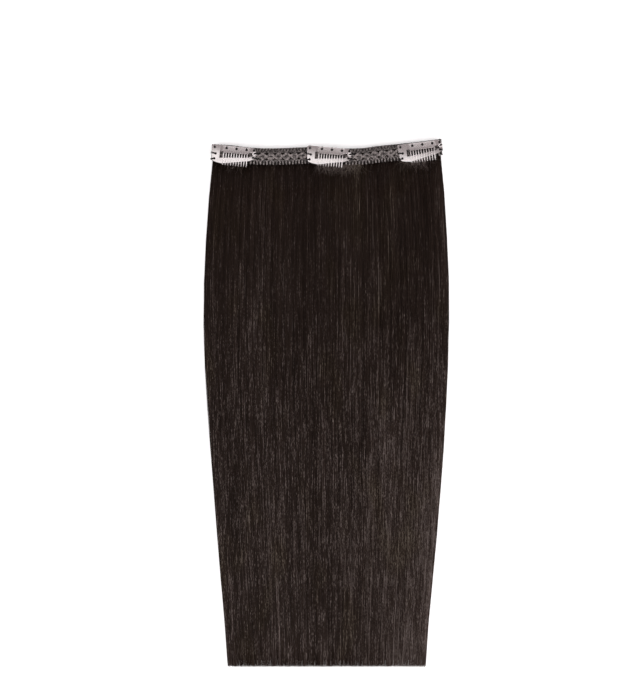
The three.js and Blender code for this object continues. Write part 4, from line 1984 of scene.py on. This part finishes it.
@dataclass
class Studio:
    """Floor, lights and camera.

    Attributes:
        lights: the soft lights.
        room: colour of the dim room.
        floor_reach: how far the floor reaches each way.
        floor_level: its level.
        pixel: size of a pixel of the photograph on the part, in millimetres.
        size: the photograph's width and height in pixels.
        origin: the part's origin in the photograph, in pixels.
        distance: height of the camera over the part, in metres.
        level: level of the part that the scale holds for, in metres.
    """

    lights: tuple[SoftLight, ...] = (
        SoftLight(
            "overhead_panel", (-0.15, -0.16, 2.3), (1.3, 0.62), 2.35,
            aim=(-0.15, -0.16, 0.0), turn=-45.0,
        ),
        SoftLight("front_light", (0.0, -2.1, 1.25), (3.0, 1.5), 27.0),
        SoftLight("back_light", (0.0, 2.0, 1.25), (3.0, 1.5), 19.0),
        SoftLight("left_light", (-1.7, -0.85, 1.0), (1.2, 1.8), 26.0),
        SoftLight("right_light", (1.7, -0.4, 1.0), (1.5, 1.8), 31.0),
    )
    room: Colour = (0.325, 0.286, 0.288)
    floor_reach: float = 4000.0
    floor_level: float = -0.3
    pixel: float = 0.725
    size: tuple[int, int] = (642, 700)
    origin: Pair = (326.7, 155.5)
    distance: float = 1.6
    level: float = 0.004

    def camera(self) -> None:
        """Places the camera straight above, over the photograph's middle."""
        data = bpy.data.cameras.new("camera")
        data.sensor_width = 36.0
        tall = self.size[1] * self.pixel * METRES
        data.lens = data.sensor_width * self.distance / tall
        data.clip_start, data.clip_end = 0.05, 20.0
        made = bpy.data.objects.new("camera", data)
        x = (self.size[0] / 2 - self.origin[0]) * self.pixel * METRES
        y = (self.origin[1] - self.size[1] / 2) * self.pixel * METRES
        made.location = (x, y, self.distance + self.level)
        bpy.context.scene.collection.objects.link(made)
        bpy.context.scene.camera = made

    def floor(self) -> None:
        """Lays the floor just under the part."""
        grid = self.floor_reach * np.array([[-1, -1], [1, -1], [1, 1], [-1, 1]])
        points = np.column_stack([grid, np.full(4, self.floor_level)])
        floor = Faces(points, [np.array([[0, 1, 2, 3]])]).piece("floor", FloorFinish().material())

    def build(self) -> None:
        """Builds the studio: a dim room, an overhead panel and soft lights on all four sides."""
        scene = bpy.context.scene
        scene.view_settings.view_transform = "Standard"
        world = bpy.data.worlds.new("room")
        world.use_nodes = True
        world.node_tree.nodes["Background"].inputs[0].default_value = (*self.room, 1)
        scene.world = world
        for light in self.lights:
            light.build()
        self.floor()
        self.camera()


def snap_clips(
    joints: Sequence[dict], band_end: float, steel: bpy.types.Material, thread: bpy.types.Material
) -> list[SnapClip]:
    """Reads each clip's place from its comb's hinge.

    Args:
        joints: the frame's joints.
        band_end: distance of the band's end from its middle.
        steel: material of the plates.
        thread: material of the sewing thread.

    Returns:
        The clips, not yet built.
    """
    return [
        SnapClip(
            name=f"clip_{joint['child'].removesuffix('_comb')}",
            comb=joint["child"],
            corner=np.array(joint["pos_m"]) / METRES,
            turn=math.atan2(-joint["axis"][1], -joint["axis"][0]),
            band_end=band_end,
            steel=steel,
            thread=thread,
        )
        for joint in joints
    ]


def main() -> None:
    """Builds every sub-assembly in order."""
    logging.basicConfig(level=logging.INFO, format="%(name)s: %(message)s")
    line = BandLine()
    steel = SteelFinish("clip_steel").material()
    # Painted shade in the thread's ply hollows, as for the lace's yarns.
    black = YarnFinish("sewing_thread", (0.003, 0.0025, 0.0023), (0.016, 0.013, 0.012), nap=0.08)
    thread = black.material()
    clips = snap_clips(frame["joints"], line.length / 2, steel, thread)
    spans = np.array([clip.span() for clip in clips])
    HairWeft(line, spans).build()
    LaceBand(line, spans).build()
    for clip in clips:
        clip.build()
    Studio().build()


if __name__ == "__main__":
    main()
